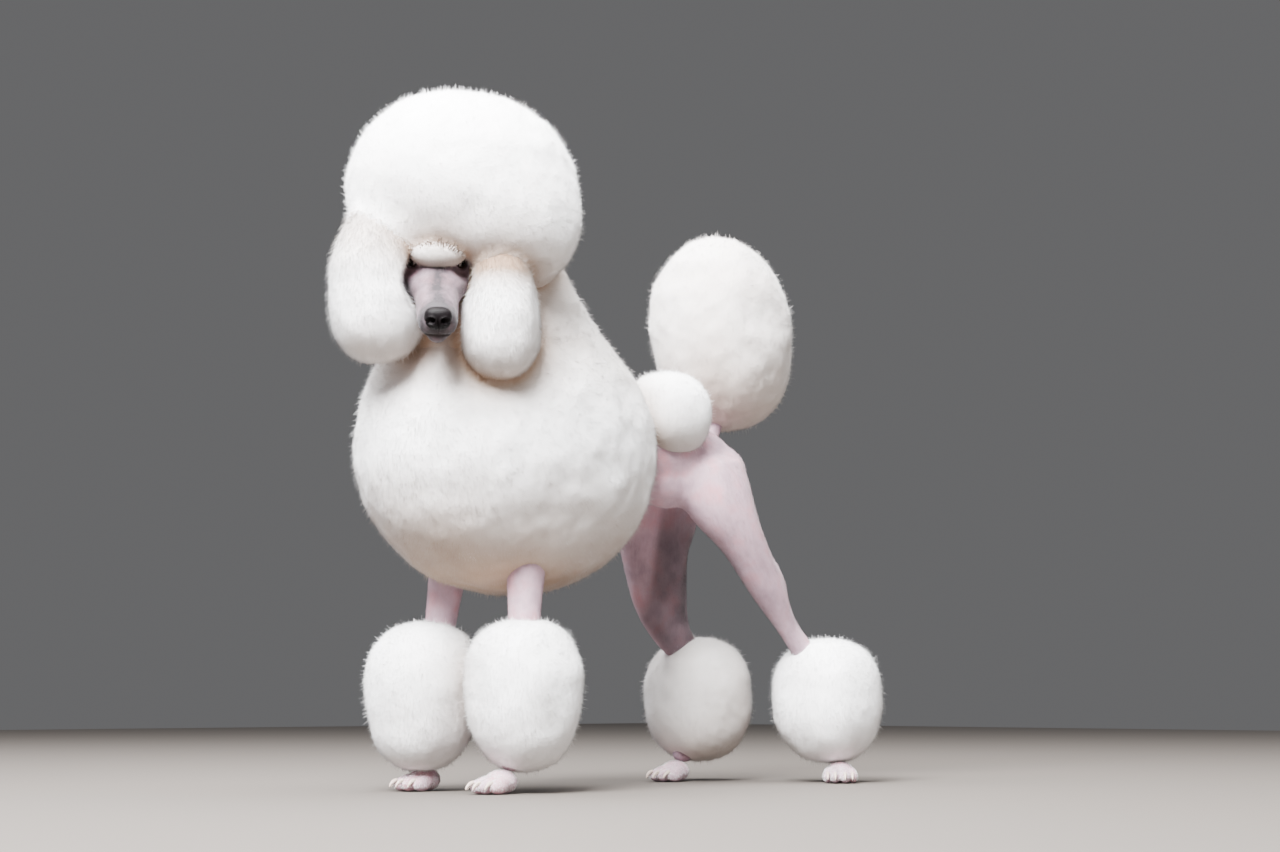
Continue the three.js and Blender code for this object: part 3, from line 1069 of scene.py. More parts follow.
    @staticmethod
    def area(puff: Puff, directions: Array) -> Array:
        """The area of surface for each unit of solid angle, in square millimetres.

        Args:
            puff: the form.
            directions: rows that are one long, in the form's own frame.

        Returns:
            One area for each direction.
        """
        step = 1e-3
        side = unit(np.cross(directions, np.roll(directions, 1, axis=1) + 0.1))
        deep = np.cross(directions, side)
        here = puff.points(directions)
        across = (puff.points(unit(directions + step * side)) - here) / step
        down = (puff.points(unit(directions + step * deep)) - here) / step
        return np.linalg.norm(np.cross(across, down), axis=1)

    def ruffled(self, puff: Puff, points: Array, normals: Array) -> tuple[Array, Array]:
        """Points moved out or in by soft waves, as a brushed coat parts into clumps, and their normals.

        Args:
            puff: the form.
            points: rows of x, y, z in the dog's frame.
            normals: which way its surface faces there.

        Returns:
            The moved points and their normals.
        """
        wave = np.zeros(len(points))
        slope = np.zeros((len(points), 3))
        for grain, share in ((52, 0.6), (24, 0.28), (11, 0.12)):
            wave += share * noise(points, grain, grain)
            slope += share / grain * noise_slope(points, grain, grain)
        moved = points + normals * (puff.ruffle * wave)[:, None]
        return moved, unit(normals - puff.ruffle * slope)

    def undercoat(self, puff: Puff) -> bpy.types.Mesh:
        """The dense inner coat: a closed grid of turn and height, a little under the tufts' tips.

        Args:
            puff: the form.

        Returns:
            Its mesh.
        """
        around = max(24, int(2 * math.pi * max(puff.half) / self.undercoat_step))
        rows = max(16, int(math.pi * max(puff.half) / self.undercoat_step))
        directions = sphere_grid(rows, around, 0.02)[1].reshape(-1, 3)
        places = self.surface(puff, directions, self.undercoat_depth)
        normals = self.normals(puff, places)
        # The brownish tint at the undercoat, partly painted shade
        cream = self.stain_and_shade(puff, places, normals)
        places, _ = self.ruffled(puff, places, normals)
        points, faces = closed_tube(places.reshape(rows, around, 3))
        mesh = mesh_of("undercoat_" + puff.name, points, faces)
        set_map(mesh, np.vstack([sphere_chart(directions), [[0.5, 0.0], [0.5, 1.0]]]))
        set_attribute(mesh, "height", np.full(len(points), 0.5))
        set_attribute(mesh, "cream", np.concatenate([cream, [0.5, puff.cream]]))
        return mesh

    def tufts(self, puff: Puff) -> tuple[Array, Array, Array, Array]:
        """All the tufts of a form.

        Each is a closed spike of four triangles: a small ring down in the undercoat and a tip. Its tip is
        drawn towards the middle of its clump, up the slope of a smooth noise. About one in six is a finer
        stray that stands a little proud, which gives the scissored outline its down.

        Args:
            puff: the form that they grow on.

        Returns:
            Ring and tip points as (count, 4, 3), the light's normals the same, the chart places of the roots,
            and the share of the brownish tint, partly painted shade.
        """
        random = np.random.default_rng(self.seed + len(puff.name) + int(abs(puff.centre[1])))
        directions = self.roots(puff, random)
        tips = self.surface(puff, directions)
        kept = self.owned(puff, tips) & (np.abs(self.distance(puff, tips)) < self.surface_slack)
        directions, tips = directions[kept], tips[kept]
        normals = self.normals(puff, tips)
        tips, normals = self.ruffled(puff, tips, normals)
        count = len(tips)
        jitter = random.normal(size=(count, 3))
        clump = noise_slope(tips, 13, 11) * 0.08 + noise_slope(tips, 32, 12) * 0.05
        lie = unit(normals + clump + np.array(puff.flow) + self.jitter * jitter)
        long = puff.hair * (1 + 0.22 * random.standard_normal(count)).clip(0.5, 1.7)
        stray = random.random(count) < self.stray_share
        rise = 0.9 * random.standard_normal(count)
        rise = rise + np.where(stray, self.stray_rise * random.random(count) ** 1.5, 0)
        tip = tips + normals * rise[:, None]
        ring_middle = tip - lie * (long + np.maximum(rise, 0))[:, None]
        side = unit(np.cross(lie, jitter))
        deep = np.cross(lie, side)
        wide = (1 + 0.2 * random.standard_normal(count)).clip(0.5, 1.5) * np.where(stray, 0.4, 1)
        wide = wide * self.tuft_width / 2 / math.sqrt(puff.fine)
        ways = three_ways(side, deep)
        points = [ring_middle + way * wide[:, None] for way in ways] + [tip]
        light = [unit(normals + way * 0.3) for way in ways] + [unit(normals + 0.2 * lie)]
        # Each tuft's brownish tint, partly painted shade
        cream = np.clip(self.stain_and_shade(puff, tips, normals) + 0.04 * random.standard_normal(count), 0, 1)
        return np.stack(points, axis=1), np.stack(light, axis=1), sphere_chart(directions), cream

    def build(self, material: bpy.types.Material) -> None:
        """Makes and shows every form's undercoat and tufts.

        Args:
            material: the white hair's finish.
        """
        for puff in self.puffs:
            under = show("undercoat_" + puff.name, self.undercoat(puff), material)
            if puff.node:
                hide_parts(puff.node)
            points, light, places, cream = self.tufts(puff)
            parts = math.ceil(len(points) / self.most_tufts)
            for number, chosen in enumerate(np.array_split(np.arange(len(points)), parts)):
                name = f"coat_{puff.name}_{number + 1}"
                mesh = spike_mesh(name, points[chosen], light[chosen], places[chosen], cream[chosen])
                show(name, mesh, material)


def show_clip() -> Coat:
    """The forms of the continental clip, as the scissors left them.

    Returns:
        The coat, ready to build.
    """
    face = HEAD.face_turn()
    fore = {"half": (79, 79, 108), "taper": 0.1, "power": 2.4, "flow": (0, 0, -0.25), "ruffle": 3.4}
    hind = {"half": (83, 83, 100), "taper": 0.04, "power": 2.35, "flow": (0, 0, -0.25), "ruffle": 3.4}
    rosette = {"half": (68, 62, 67), "ruffle": 2.4}
    brow, eyes = (tuple(place) for place in HEAD.to_dog(np.array([[66.0, 0.5, 33.5], [60.0, 0.0, -9.0]])))
    puffs = [
        # Some of the tint is painted shade: cream on the neck, the tail and the far hind bracelet, crown on
        # the mane and the ears, and under on the mane above all
        Puff("mane", "torso", (-54, 0, 486), (237, 174, 207), power=2.15, flow=(-0.2, 0, -0.4), crown_shade=0.5,
             under=0.9, ruffle=5.2, hair=12),
        Puff("neck", "neck", (-10, 8, 650), (148, 124, 150), turn=turn_about("Y", 24), flow=(-0.3, 0, -0.4),
             cream=0.4, crown_shade=0.3, ruffle=4.6, hair=12),
        Puff("topknot", "topknot", (75, 52, 850), (146, 165, 136), taper=-0.06, power=2.1,
             turn=face @ turn_about("X", -8), flow=(-0.1, 0, 0.15), cream=0.08,
             under=0.15, ruffle=4.4),
        Puff("ear_right", "ear_right", (208, 27, 683), (60, 63, 98), taper=-0.18, power=2.3,
             turn=face @ turn_about("X", 9), flow=(0, 0, -0.8), cream=0.06, crown_shade=0.5,
             hair=11, ruffle=5.0, fine=1.8),
        Puff("ear_left", "ear_left", (75, 137, 664), (60, 54, 106), taper=-0.24, turn=face, flow=(0, 0, -0.8),
             cream=0.06, crown_shade=1.5, hair=11, ruffle=5.0, fine=1.8),
        Puff("bracelet_fore_left", "bracelet_fore_left", (-23, 75, 135), **fore),
        Puff("bracelet_fore_right", "bracelet_fore_right", (38, -75, 132), **fore),
        Puff("bracelet_hind_left", "bracelet_hind_left", (-625, 105, 127), **hind),
        # The far hind bracelet's tint is painted shade
        Puff("bracelet_hind_right", "bracelet_hind_right", (-519, -80, 129), cream=0.35, **hind),
        Puff("rosette_left", "rosette_left", (-318, 60, 560), **rosette),
        Puff("rosette_right", "rosette_right", (-318, -60, 560), **rosette),
        Puff("tail_pompom", "tail_pompom", (-495, 0, 712), (110, 110, 157), turn=turn_about("Y", 10),
             cream=0.42, ruffle=5.5),
        Puff("forelock", None, brow, (23, 40, 21), power=2.0, turn=HEAD.turn(), flow=(0, 0, -0.3), hair=6,
             ruffle=1.0, fine=2.6),
        Puff("fall", None, (38, 126, 773), (66, 74, 55), turn=face @ turn_about("X", -8), flow=(0, 0, -0.3),
             ruffle=4.4),
    ]
    seams = [
        Seam("mane", "neck", 50),
        Seam("neck", "topknot", 34),
        Seam("neck", "ear_left", 26),
        Seam("neck", "ear_right", 36),
        Seam("mane", "ear_left", 6),
        Seam("mane", "ear_right", 6),
        Seam("topknot", "fall", 70),
        Seam("neck", "fall", 34),
        Seam("ear_left", "fall", 8),
        Seam("topknot", "ear_left", 12),
        Seam("topknot", "ear_right", 70),
        Seam("ear_left", "ear_right", 6),
        Seam("topknot", "forelock", 8),
        Seam("mane", "rosette_left", 6),
        Seam("mane", "rosette_right", 6),
        Seam("rosette_left", "rosette_right", 8),
        Seam("bracelet_fore_left", "bracelet_fore_right", 6),
    ]
    sight = HEAD.turn() @ turn_about("Y", -14)
    clear = Puff("clear", None, eyes, (118, 48, 49), power=1.8, turn=sight)
    return Coat(puffs, seams, clear)


# The skin


@dataclass(frozen=True)
class Limb:
    """A length of the body: elliptical rings along a smooth line of x, y, z, half width, half depth."""

    stations: tuple[tuple[float, float, float, float, float], ...]
    across: tuple[float, float, float] = (0.0, 1.0, 0.0)

    def shell(self, sides: int = 40, step: float = 5.0) -> Shell:
        """The closed surface: at each place along the line, an ellipse square to it.

        Args:
            sides: points in a ring.
            step: millimetres between rings.

        Returns:
            Points and faces.
        """
        table = np.array(self.stations, float)
        length = np.linalg.norm(np.diff(table[:, :3], axis=0), axis=1).sum()
        rows = max(8, int(length / step))
        ends = 0.5 - 0.5 * np.cos(np.linspace(0, math.pi, rows))
        line = along_table(table, ends)
        tangent = unit(np.gradient(line[:, :3], axis=0))
        side = unit(np.array(self.across) - tangent * (tangent @ np.array(self.across))[:, None])
        deep = np.cross(tangent, side)
        angle = np.arange(sides) * 2 * math.pi / sides
        cap = np.sqrt(np.clip(np.minimum(ends, 1 - ends) * length / (0.6 * line[:, 3]), 0, 1))
        wide = (line[:, 3] * cap)[:, None, None]
        thick = (line[:, 4] * cap)[:, None, None]
        ring = side[:, None] * np.cos(angle)[None, :, None] * wide
        ring = ring + deep[:, None] * np.sin(angle)[None, :, None] * thick
        return closed_tube(line[:, None, :3] + ring)

    def lie(self, points: Array) -> tuple[Array, Array, Array]:
        """Where points lie along the limb and round it.

        Args:
            points: rows of x, y, z.

        Returns:
            How far each point is from the line, (along, around, away) in millimetres, and its place on the
            limb's own unwrap, with the turn across and the length up, both from 0 to 1.
        """
        line = along_table(np.array(self.stations, float), np.linspace(0, 1, 60))[:, :3]
        away = np.linalg.norm(points[:, None] - line[None], axis=2)
        nearest = away.argmin(axis=1)
        steps = np.concatenate([[0], np.cumsum(np.linalg.norm(np.diff(line, axis=0), axis=1))])
        tangent = unit(np.gradient(line, axis=0))[nearest]
        out = points - line[nearest]
        along = steps[nearest] + (out * tangent).sum(axis=1)
        side = unit(np.array(self.across) - tangent * (tangent @ np.array(self.across))[:, None])
        deep = np.cross(tangent, side)
        angle = np.arctan2((out * deep).sum(axis=1), (out * side).sum(axis=1))
        distance = away.min(axis=1)
        unwrap = np.stack([angle / (2 * math.pi) % 1.0, np.clip(along / steps[-1], 0, 1)], axis=1)
        return distance, np.stack([along, angle * distance, distance], axis=1), unwrap


def ball(centre: Numbers, half: Numbers, turn: Array | None = None) -> Shell:
    """The closed surface of an ellipsoid: a sphere's grid times its half sizes, turned and moved.

    Args:
        centre: its middle.
        half: its half sizes.
        turn: its turn about its middle, if any.

    Returns:
        Points and faces.
    """
    grid = sphere_grid(24, 32, 0.03)[1] * np.array(half)
    if turn is not None:
        grid = grid @ turn.T
    return closed_tube(grid + np.array(centre))


LIMBS = {
    "foreleg_left": Limb((
        (-34, 68, 430, 40, 42), (-28, 73, 320, 28.5, 29), (-24, 75, 240, 22.5, 23),
        (-24, 75, 135, 19, 19), (-12, 75, 70, 18, 18), (2, 75, 30, 18, 16))),
    "foreleg_right": Limb((
        (-16, -68, 430, 40, 42), (-4, -73, 320, 28.5, 29), (8, -75, 240, 22.5, 23),
        (22, -75, 135, 19, 19), (26, -75, 70, 18, 18), (32, -75, 30, 18, 16))),
    "hindleg_left": Limb((
        (-398, 55, 505, 40, 62), (-414, 72, 440, 43, 61), (-450, 88, 373, 33, 37),
        (-501, 92, 300, 25, 27.5), (-549, 92, 238, 15, 17.5), (-590, 94, 190, 16, 20),
        (-612, 104, 130, 15, 16), (-620, 117, 70, 16, 16), (-616, 124, 30, 18, 18))),
    "hindleg_right": Limb((
        (-396, -55, 505, 40, 66), (-418, -72, 430, 44, 86), (-424, -80, 355, 38, 63),
        (-437, -80, 285, 29, 52), (-466, -80, 230, 19, 35), (-513, -80, 186, 16, 20),
        (-512, -80, 125, 15, 16), (-494, -80, 70, 16, 17), (-478, -80, 30, 18, 18))),
    "hindquarters": Limb((
        (-120, 0, 500, 100, 95), (-180, 0, 505, 92, 84), (-270, 0, 503, 78, 70), (-350, 0, 500, 86, 68),
        (-420, 0, 491, 82, 62), (-470, 0, 475, 58, 46), (-496, 0, 463, 34, 28))),
    "tail": Limb((
        (-440, 0, 505, 17, 17), (-468, 0, 545, 15, 15), (-492, 0, 600, 13, 13),
        (-500, 0, 680, 10, 10), (-494, 0, 720, 6, 6))),
    "chest": Limb((
        (110, 0, 470, 60, 70), (60, 0, 480, 92, 118), (-20, 0, 478, 105, 135),
        (-100, 0, 490, 104, 122), (-190, 0, 500, 88, 86))),
    "neck": Limb((
        (20, 0, 560, 60, 75), (40, 8, 620, 52, 60), (62, 20, 690, 46, 52), (80, 28, 730, 42, 46))),
}


@dataclass(frozen=True)
class PawPlace:
    """Where a paw stands, and which way it points."""

    x: float
    y: float
    heading: float = 0.0

    def to_dog(self, points: Array) -> Array:
        """Points of the paw's own frame, x towards the toes, in the dog's frame."""
        return points @ turn_about("Z", self.heading).T + np.array([self.x, self.y, 0.0])


PAWS = {
    "fore_left": PawPlace(26, 75),
    "fore_right": PawPlace(44, -75),
    "hind_left": PawPlace(-610, 142, 42),
    "hind_right": PawPlace(-457, -80),
}


@dataclass(frozen=True)
class Toe:
    """A toe in the paw's frame: the middle of its ball and how far the ball reaches ahead."""

    x: float
    y: float
    reach: float


TOES = (Toe(8, 19, 17), Toe(19, 7.5, 18), Toe(19, -7.5, 18), Toe(8, -19, 17))


@dataclass
class Head:
    """The head's skin: rays from a spine inside it out to a softly blended distance field."""

    rows: int = 200
    columns: int = 210
    spine_from: float = -45.0
    spine_to: float = 160.0
    back_share: float = 0.12
    front_share: float = 0.14
    mouth_turn: float = -38.0
    rounds: int = 60
    line: tuple[tuple[float, float, float, float], ...] = (
        (-50, 6, 40, 38), (-10, 6, 50, 47), (30, 4, 46, 43), (58, -5, 37, 36), (85, -17, 31, 30),
        (120, -25, 27.5, 27), (152, -31, 25.5, 25), (170, -34, 23.5, 23))
    lip_line: tuple[tuple[float, float], ...] = ((75, -34), (92, -40), (127, -45), (162, -49), (190, -50))
    bulges: tuple[tuple[tuple, tuple, float], ...] = (
        ((22, 30, -14), (40, 17, 24), 14),
        ((36, 26, 29), (17, 13, 8), 9),
        ((64, 25, -10), (30, 13.5, 17), 12),
        ((157, 12, -35), (27, 13.5, 16), 6),
        ((120, 13, -38), (40, 12, 13), 9),
        ((158, 0, -54.5), (21.5, 13, 10), 5),
        ((110, 8, -48), (52, 12, 9), 9),
    )

    def spine(self, share: Array) -> Array:
        """Height of the middle line and the half width and depth, at each x.

        Args:
            share: places along the muzzle's axis.

        Returns:
            A row of three for each place.
        """
        table = np.array(self.line, float)
        count = np.interp(share, table[:, 0], np.linspace(0, 1, len(table)))
        return along_table(table, count)[:, 1:]

    @staticmethod
    def ellipsoid(points: Array, centre: Numbers, half: Numbers) -> Array:
        """About how far points lie outside an ellipsoid.

        Args:
            points: rows of x, y, z.
            centre: its middle.
            half: its half sizes.

        Returns:
            Millimetres for each point, less than 0 inside.
        """
        away = (points - np.array(centre)) / np.array(half)
        norm = np.linalg.norm(away, axis=1)
        slope = np.linalg.norm(away / np.array(half), axis=1)
        return norm * (norm - 1) / np.maximum(slope, 1e-6)

    def distance(self, points: Array) -> Array:
        """The head's field: skull and muzzle, with cheeks, brows, flews and chin blended on, and eyes let in.

        Args:
            points: rows of x, y, z in the head's frame.

        Returns:
            About how far each point lies outside the skin, less than 0 inside.
        """
        x = points[:, 0]
        ahead = np.maximum(x - self.line[-1][0], 0) / 14
        behind = np.maximum(self.line[0][0] - x, 0) / 24
        height, wide, deep = self.spine(x).T
        share = np.stack([points[:, 1] / wide, (points[:, 2] - height) / deep], axis=1)
        norm = ((np.abs(share) ** 2.25).sum(axis=1) ** (2 / 2.25) + ahead**2 + behind**2) ** 0.5
        total = (norm - 1) * np.minimum(wide, deep) * 0.95
        mirrored = np.stack([x, np.abs(points[:, 1]), points[:, 2]], axis=1)
        for centre, half, softness in self.bulges:
            total = soft_least(total, self.ellipsoid(mirrored, centre, half), softness)
        hollow = self.ellipsoid(mirrored, (70, 40, 12), (26, 13, 11))
        total = soft_most(total, -hollow, 12)
        stop = self.ellipsoid(mirrored, (60, 0, 44), (22, 12, 14))
        total = soft_most(total, -stop, 10)
        return self.mouth(mirrored, self.lids(mirrored, total))

    @staticmethod
    def lids(mirrored: Array, total: Array) -> Array:
        """The field with a ball of lid blended on round the eye, and an almond opening cut into it.

        Args:
            mirrored: points of the head's left half.
            total: the field there.

        Returns:
            The field with the lids.
        """
        look = unit(np.array([math.cos(math.radians(EYE_LOOK)), math.sin(math.radians(EYE_LOOK)), 0.02]))
        away = mirrored - np.array(EYE_PLACE)
        total = soft_least(total, np.linalg.norm(away, axis=1) - (EYE_RADIUS + 2.1), 5)
        across = unit(np.cross([0, 0, 1], look))
        sideways, upward = away @ across, away @ np.cross(look, across)
        curve = upward - 0.12 * sideways
        tall = 5.6 * np.sqrt(np.clip(1.15 - (sideways / 11) ** 2, 0.02, 1))
        almond = np.hypot(sideways / 10.2, (curve - 0.6) / tall)
        opening = np.maximum((almond - 1) * 5, 3 - away @ look)
        return soft_most(total, -opening, 1.6)

    def mouth(self, mirrored: Array, total: Array) -> Array:
        """The field with the line of the mouth let in as a fine groove that ends at its corner.

        Args:
            mirrored: points of the head's left half.
            total: the field there.

        Returns:
            The field with the mouth.
        """
        lips = np.array(self.lip_line)
        line = np.interp(mirrored[:, 0], lips[:, 0], lips[:, 1])
        off = mirrored[:, 2] - line
        depth = 2.6 * smooth_step(72, 90, mirrored[:, 0])
        groove = depth * np.exp(-(off / 1.1) ** 2)
        philtrum = 1.4 * np.exp(-(mirrored[:, 1] / 1.2) ** 2) * smooth_step(165, 175, mirrored[:, 0])
        under_nose = smooth_step(-49, -46, mirrored[:, 2]) * (1 - smooth_step(-40, -36, mirrored[:, 2]))
        return total + groove + philtrum * under_nose

    def grid(self) -> Shell:
        """The head as a grid of place along the spine and turn round it, in the head's frame.

        The rays tilt back over the skull's end and ahead over the nose's, stand closer at the mouth, and are
        stepped along until the field is 0.

        Returns:
            Points and faces.
        """
        share = np.linspace(0, 1, self.rows)
        front = 1 - self.front_share
        back_tilt = np.minimum(share / self.back_share - 1, 0)
        tilt = (back_tilt + np.maximum((share - front) / self.front_share, 0)) * (math.pi / 2)
        tilt = np.clip(tilt, -math.pi / 2 + 0.01, math.pi / 2 - 0.01)
        run = np.clip((share - self.back_share) / (front - self.back_share), 0, 1)
        x = self.spine_from + (self.spine_to - self.spine_from) * run
        height = self.spine(x)[:, 0]
        turn = np.arange(self.columns) * 2 * math.pi / self.columns
        mouth = math.radians(self.mouth_turn)
        for middle in (mouth, math.pi - mouth):
            off = np.angle(np.exp(1j * (turn - middle)))
            turn = turn - 0.16 * np.sin(turn - middle) * np.exp(-(off / 0.5) ** 2)
        out = np.stack([np.zeros_like(turn), np.cos(turn), np.sin(turn)], axis=1)
        ray = out[None] * np.cos(tilt)[:, None, None] + np.array([1.0, 0, 0]) * np.sin(tilt)[:, None, None]
        start = np.stack([x, np.zeros_like(x), height], axis=1)[:, None]
        origin = np.broadcast_to(start, ray.shape).reshape(-1, 3)
        ray = ray.reshape(-1, 3)
        reach = np.full(len(ray), 95.0)
        for _ in range(self.rounds):
            reach = reach - 0.75 * self.distance(origin + ray * reach[:, None])
            reach = np.maximum(reach, 2.0)
        return closed_tube((origin + ray * reach[:, None]).reshape(self.rows, self.columns, 3))


@dataclass
class Skin:
    """The one skin under the coat: body and legs fused, with the head and the paws."""

    head: Head = field(default_factory=Head)
    body_voxel: float = 4.6
    paw_voxel: float = 2.4
    muscles: tuple[tuple[tuple, tuple], ...] = (
        ((-400, 60, 464), (72, 36, 58)), ((-398, -60, 464), (72, 36, 58)),
        ((-434, 54, 477), (52, 34, 46)), ((-434, -54, 477), (52, 34, 46)),
        ((-330, 42, 462), (62, 32, 44)), ((-330, -42, 462), (62, 32, 44)))
    calf: tuple[float, float, float] = (17, 17, 52)

    def body(self) -> bpy.types.Mesh:
        """Torso, neck, legs and tail, fused, with the muscles and tendons that show where it is clipped.

        Returns:
            The fused mesh.
        """
        shells = [limb.shell() for limb in LIMBS.values()]
        shells += [ball(centre, half) for centre, half in self.muscles]
        for centre, lean in (((-509, 93, 322), 36), ((-455, -81, 318), 28)):
            shells.append(ball(centre, self.calf, turn_about("Y", lean)))
        for leg in ("hindleg_left", "hindleg_right"):
            shells.append(self.tendon(LIMBS[leg]))
        return fused("skin_body", shells, self.body_voxel, 16)

    @staticmethod
    def tendon(leg: Limb) -> Shell:
        """The tendon behind the shin: a thin cord from the calf to the point of the hock.

        Args:
            leg: the hind leg that it belongs to.

        Returns:
            Points and faces.
        """
        upper, lower, hock = (np.array(leg.stations[number], float) for number in (3, 4, 5))
        rows = (
            (upper[0] - 12, upper[1], upper[2] - 14, 8, 9), (lower[0] - 17, lower[1], lower[2] + 4, 5.5, 6.5),
            (hock[0] - 20, hock[1], hock[2] + 6, 7, 8))
        return Limb(rows).shell(sides=20)

    def paw(self, place: PawPlace, name: str) -> bpy.types.Mesh:
        """A paw: pad and four arched toes, flat underneath.

        Args:
            place: where it stands.
            name: its mesh's name.

        Returns:
            The fused mesh.
        """
        shells = [ball((-10, 0, 16), (24, 21, 17))]
        for toe in TOES:
            spread = turn_about("Z", math.copysign(6, toe.y))
            shells.append(ball((toe.x - 8, toe.y * 0.9, 15), (16, 7.9, 9.5), spread))
            shells.append(ball((toe.x + 1, toe.y, 10.5), (toe.reach - 1, 7.8, 10.4), spread))
        placed = [(place.to_dog(points), faces) for points, faces in shells]
        mesh = fused(name, placed, self.paw_voxel, 4)
        points = points_of(mesh)
        points[:, 2] = np.maximum(points[:, 2], 0.2)
        mesh.vertices.foreach_set("co", PART.points(points).astype(np.float32).ravel())
        mesh.update()
        return mesh

    def grow_down(self, skin: Shell, starts: Array, shade: Array, furs: Sequence[bpy.types.Material]) -> None:
        """Short hair on the face, the clipped body and the feet, each where its own skin is and in its tone.

        Args:
            skin: the whole skin's points and faces.
            starts: where the body's, the head's and each paw's points start.
            shade: how dark the skin is at each point, its painted shade included.
            furs: the finish of the clipped hair and that of the white hair.
        """
        points, faces = skin
        clipped, white = furs
        flat = np.vstack([
            group if group.shape[1] == 3 else np.vstack([group[:, [0, 1, 2]], group[:, [0, 2, 3]]])
            for group in faces])
        middle = points[flat].mean(axis=1)
        first = flat[:, 0]
        on_head = HEAD.from_dog(middle)
        is_face = (first >= starts[1]) & (first < starts[2]) & (on_head[:, 0] > 25)
        is_face &= np.linalg.norm(np.abs(on_head) - np.array(EYE_PLACE), axis=1) > 14.5
        is_face &= (on_head[:, 0] < 164) | (np.abs(on_head[:, 1]) > 19) | (on_head[:, 2] < -56)
        x, _, z = middle.T
        is_body = (first < starts[1]) & (x < -260) & (z > 180) & (z < 545)
        is_body |= (first < starts[1]) & (x > -60) & (z > 200) & (z < 330)
        is_paw = (first >= starts[2]) & (z > 6)
        back = tuple(HEAD.turned(np.array([[-1.0, 0, -0.15]]))[0])
        face = Down("down_face", 52, 2.4, 0.3, back, 0.5)
        face.build(points, flat[is_face], shade, self.face_chart, clipped)
        body = Down("down_body", 8.5, 4.2, 0.35, (-0.25, 0.0, -1.0), 0.7)
        body.build(points, flat[is_body], shade, self.limb_chart, clipped)
        feet = Down("down_paws", 34, 3.2, 0.4, (0.5, 0.0, -0.9), 0.6)
        feet.build(points, flat[is_paw], shade, self.paw_chart, white)

    def build(self, material: bpy.types.Material, furs: Sequence[bpy.types.Material]) -> None:
        """Joins the body, the head and the paws as one piece and lays their colour zones.

        Args:
            material: the skin's finish.
            furs: the finish of the clipped hair and that of the white hair.
        """
        body = self.body()
        head_points, head_faces = self.head.grid()
        shells = [(points_of(body), faces_of(body)), (HEAD.to_dog(head_points), head_faces)]
        for name, place in PAWS.items():
            paw = self.paw(place, "paw_" + name)
            shells.append((points_of(paw), faces_of(paw)))
        points, faces, starts = joined(shells)
        mesh = mesh_of("skin", points, faces)
        on_body, on_head, on_paws = slice(0, starts[1]), slice(starts[1], starts[2]), slice(starts[2], None)
        local = HEAD.from_dog(points[on_head])
        angle = np.arctan2(local[:, 2] + 15, local[:, 1])
        lie = np.empty((len(points), 3))
        lie[on_body] = self.nearest_limb(points[on_body])[0]
        lie[on_head] = np.stack([local[:, 0] * 0.3, angle * 30, local[:, 2]], axis=1)
        lie[on_paws] = points[on_paws]
        set_attribute(mesh, "lie", lie)
        grey = np.zeros(len(points))
        dark = np.zeros(len(points))
        grey[on_body] = self.body_tones(points[on_body], normals_of(mesh)[on_body])
        grey[on_head], dark[on_head] = self.face_tones(local)
        set_attribute(mesh, "grey", grey)
        set_attribute(mesh, "dark", dark)
        piece = show("skin", mesh, material)
        self.grow_down((points, faces), starts, np.maximum(grey, dark), furs)
        flesh = ["head", "hindquarters", "tail"]
        flesh += [f"{leg}_{side}" for leg in ("foreleg", "hindleg") for side in ("left", "right")]
        flesh += ["paw_" + name for name in PAWS]
        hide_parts(*flesh)

    @staticmethod
    def nearest_limb(points: Array) -> tuple[Array, Array]:
        """Where points lie on whichever limb is nearest.

        Args:
            points: rows of x, y, z.

        Returns:
            The hair's lie, along and round the limb and drawn out along it, and the place on an unwrap of the
            body that has the limbs' own unwraps side by side.
        """
        best = np.full(len(points), np.inf)
        lie = np.zeros((len(points), 3))
        chart = np.zeros((len(points), 2))
        for number, limb in enumerate(LIMBS.values()):
            distance, place, unwrap = limb.lie(points)
            nearer = distance < best
            best[nearer] = distance[nearer]
            lie[nearer] = place[nearer] * np.array([0.3, 1.0, 1.0])
            chart[nearer] = (unwrap[nearer] + np.array([number, 0])) / np.array([len(LIMBS), 1])
        return lie, chart

    def limb_chart(self, points: Array) -> Array:
        """Places on the unwrap of the body."""
        return self.nearest_limb(points)[1]

    @staticmethod
    def face_chart(points: Array) -> Array:
        """Places on the unwrap of the head: turn round the muzzle's line across, length up.

        Args:
            points: rows of x, y, z in the dog's frame.

        Returns:
            A row of two from 0 to 1 for each point.
        """
        x, y, z = HEAD.from_dog(points).T
        around = np.arctan2(z + 20, y) / (2 * math.pi) % 1.0
        return np.stack([around, np.clip(x / 190, 0, 1)], axis=1)

    @staticmethod
    def paw_chart(points: Array) -> Array:
        """Places on the unwrap of the paws: each paw's chart of directions from its middle, side by side.

        Args:
            points: rows of x, y, z in the dog's frame.

        Returns:
            A row of two from 0 to 1 for each point.
        """
        middles = np.array([place.to_dog(np.array([[0, 0, 12.0]]))[0] for place in PAWS.values()])
        away = points[:, None] - middles[None]
        nearest = np.linalg.norm(away, axis=2).argmin(axis=1)
        chart = sphere_chart(unit(away[np.arange(len(points)), nearest]))
        chart[:, 0] = (chart[:, 0] + nearest) / len(middles)
        return chart

    @staticmethod
    def body_tones(points: Array, normals: Array) -> Array:
        """How grey the clipped body is: dappled behind the thighs and on the shanks, darkest on the legs'
        inner sides, which is painted shade.

        Args:
            points: rows of x, y, z in the dog's frame.
            normals: which way the skin faces there.

        Returns:
            A share from 0 to 1 for each point.
        """
        x, y, z = points.T
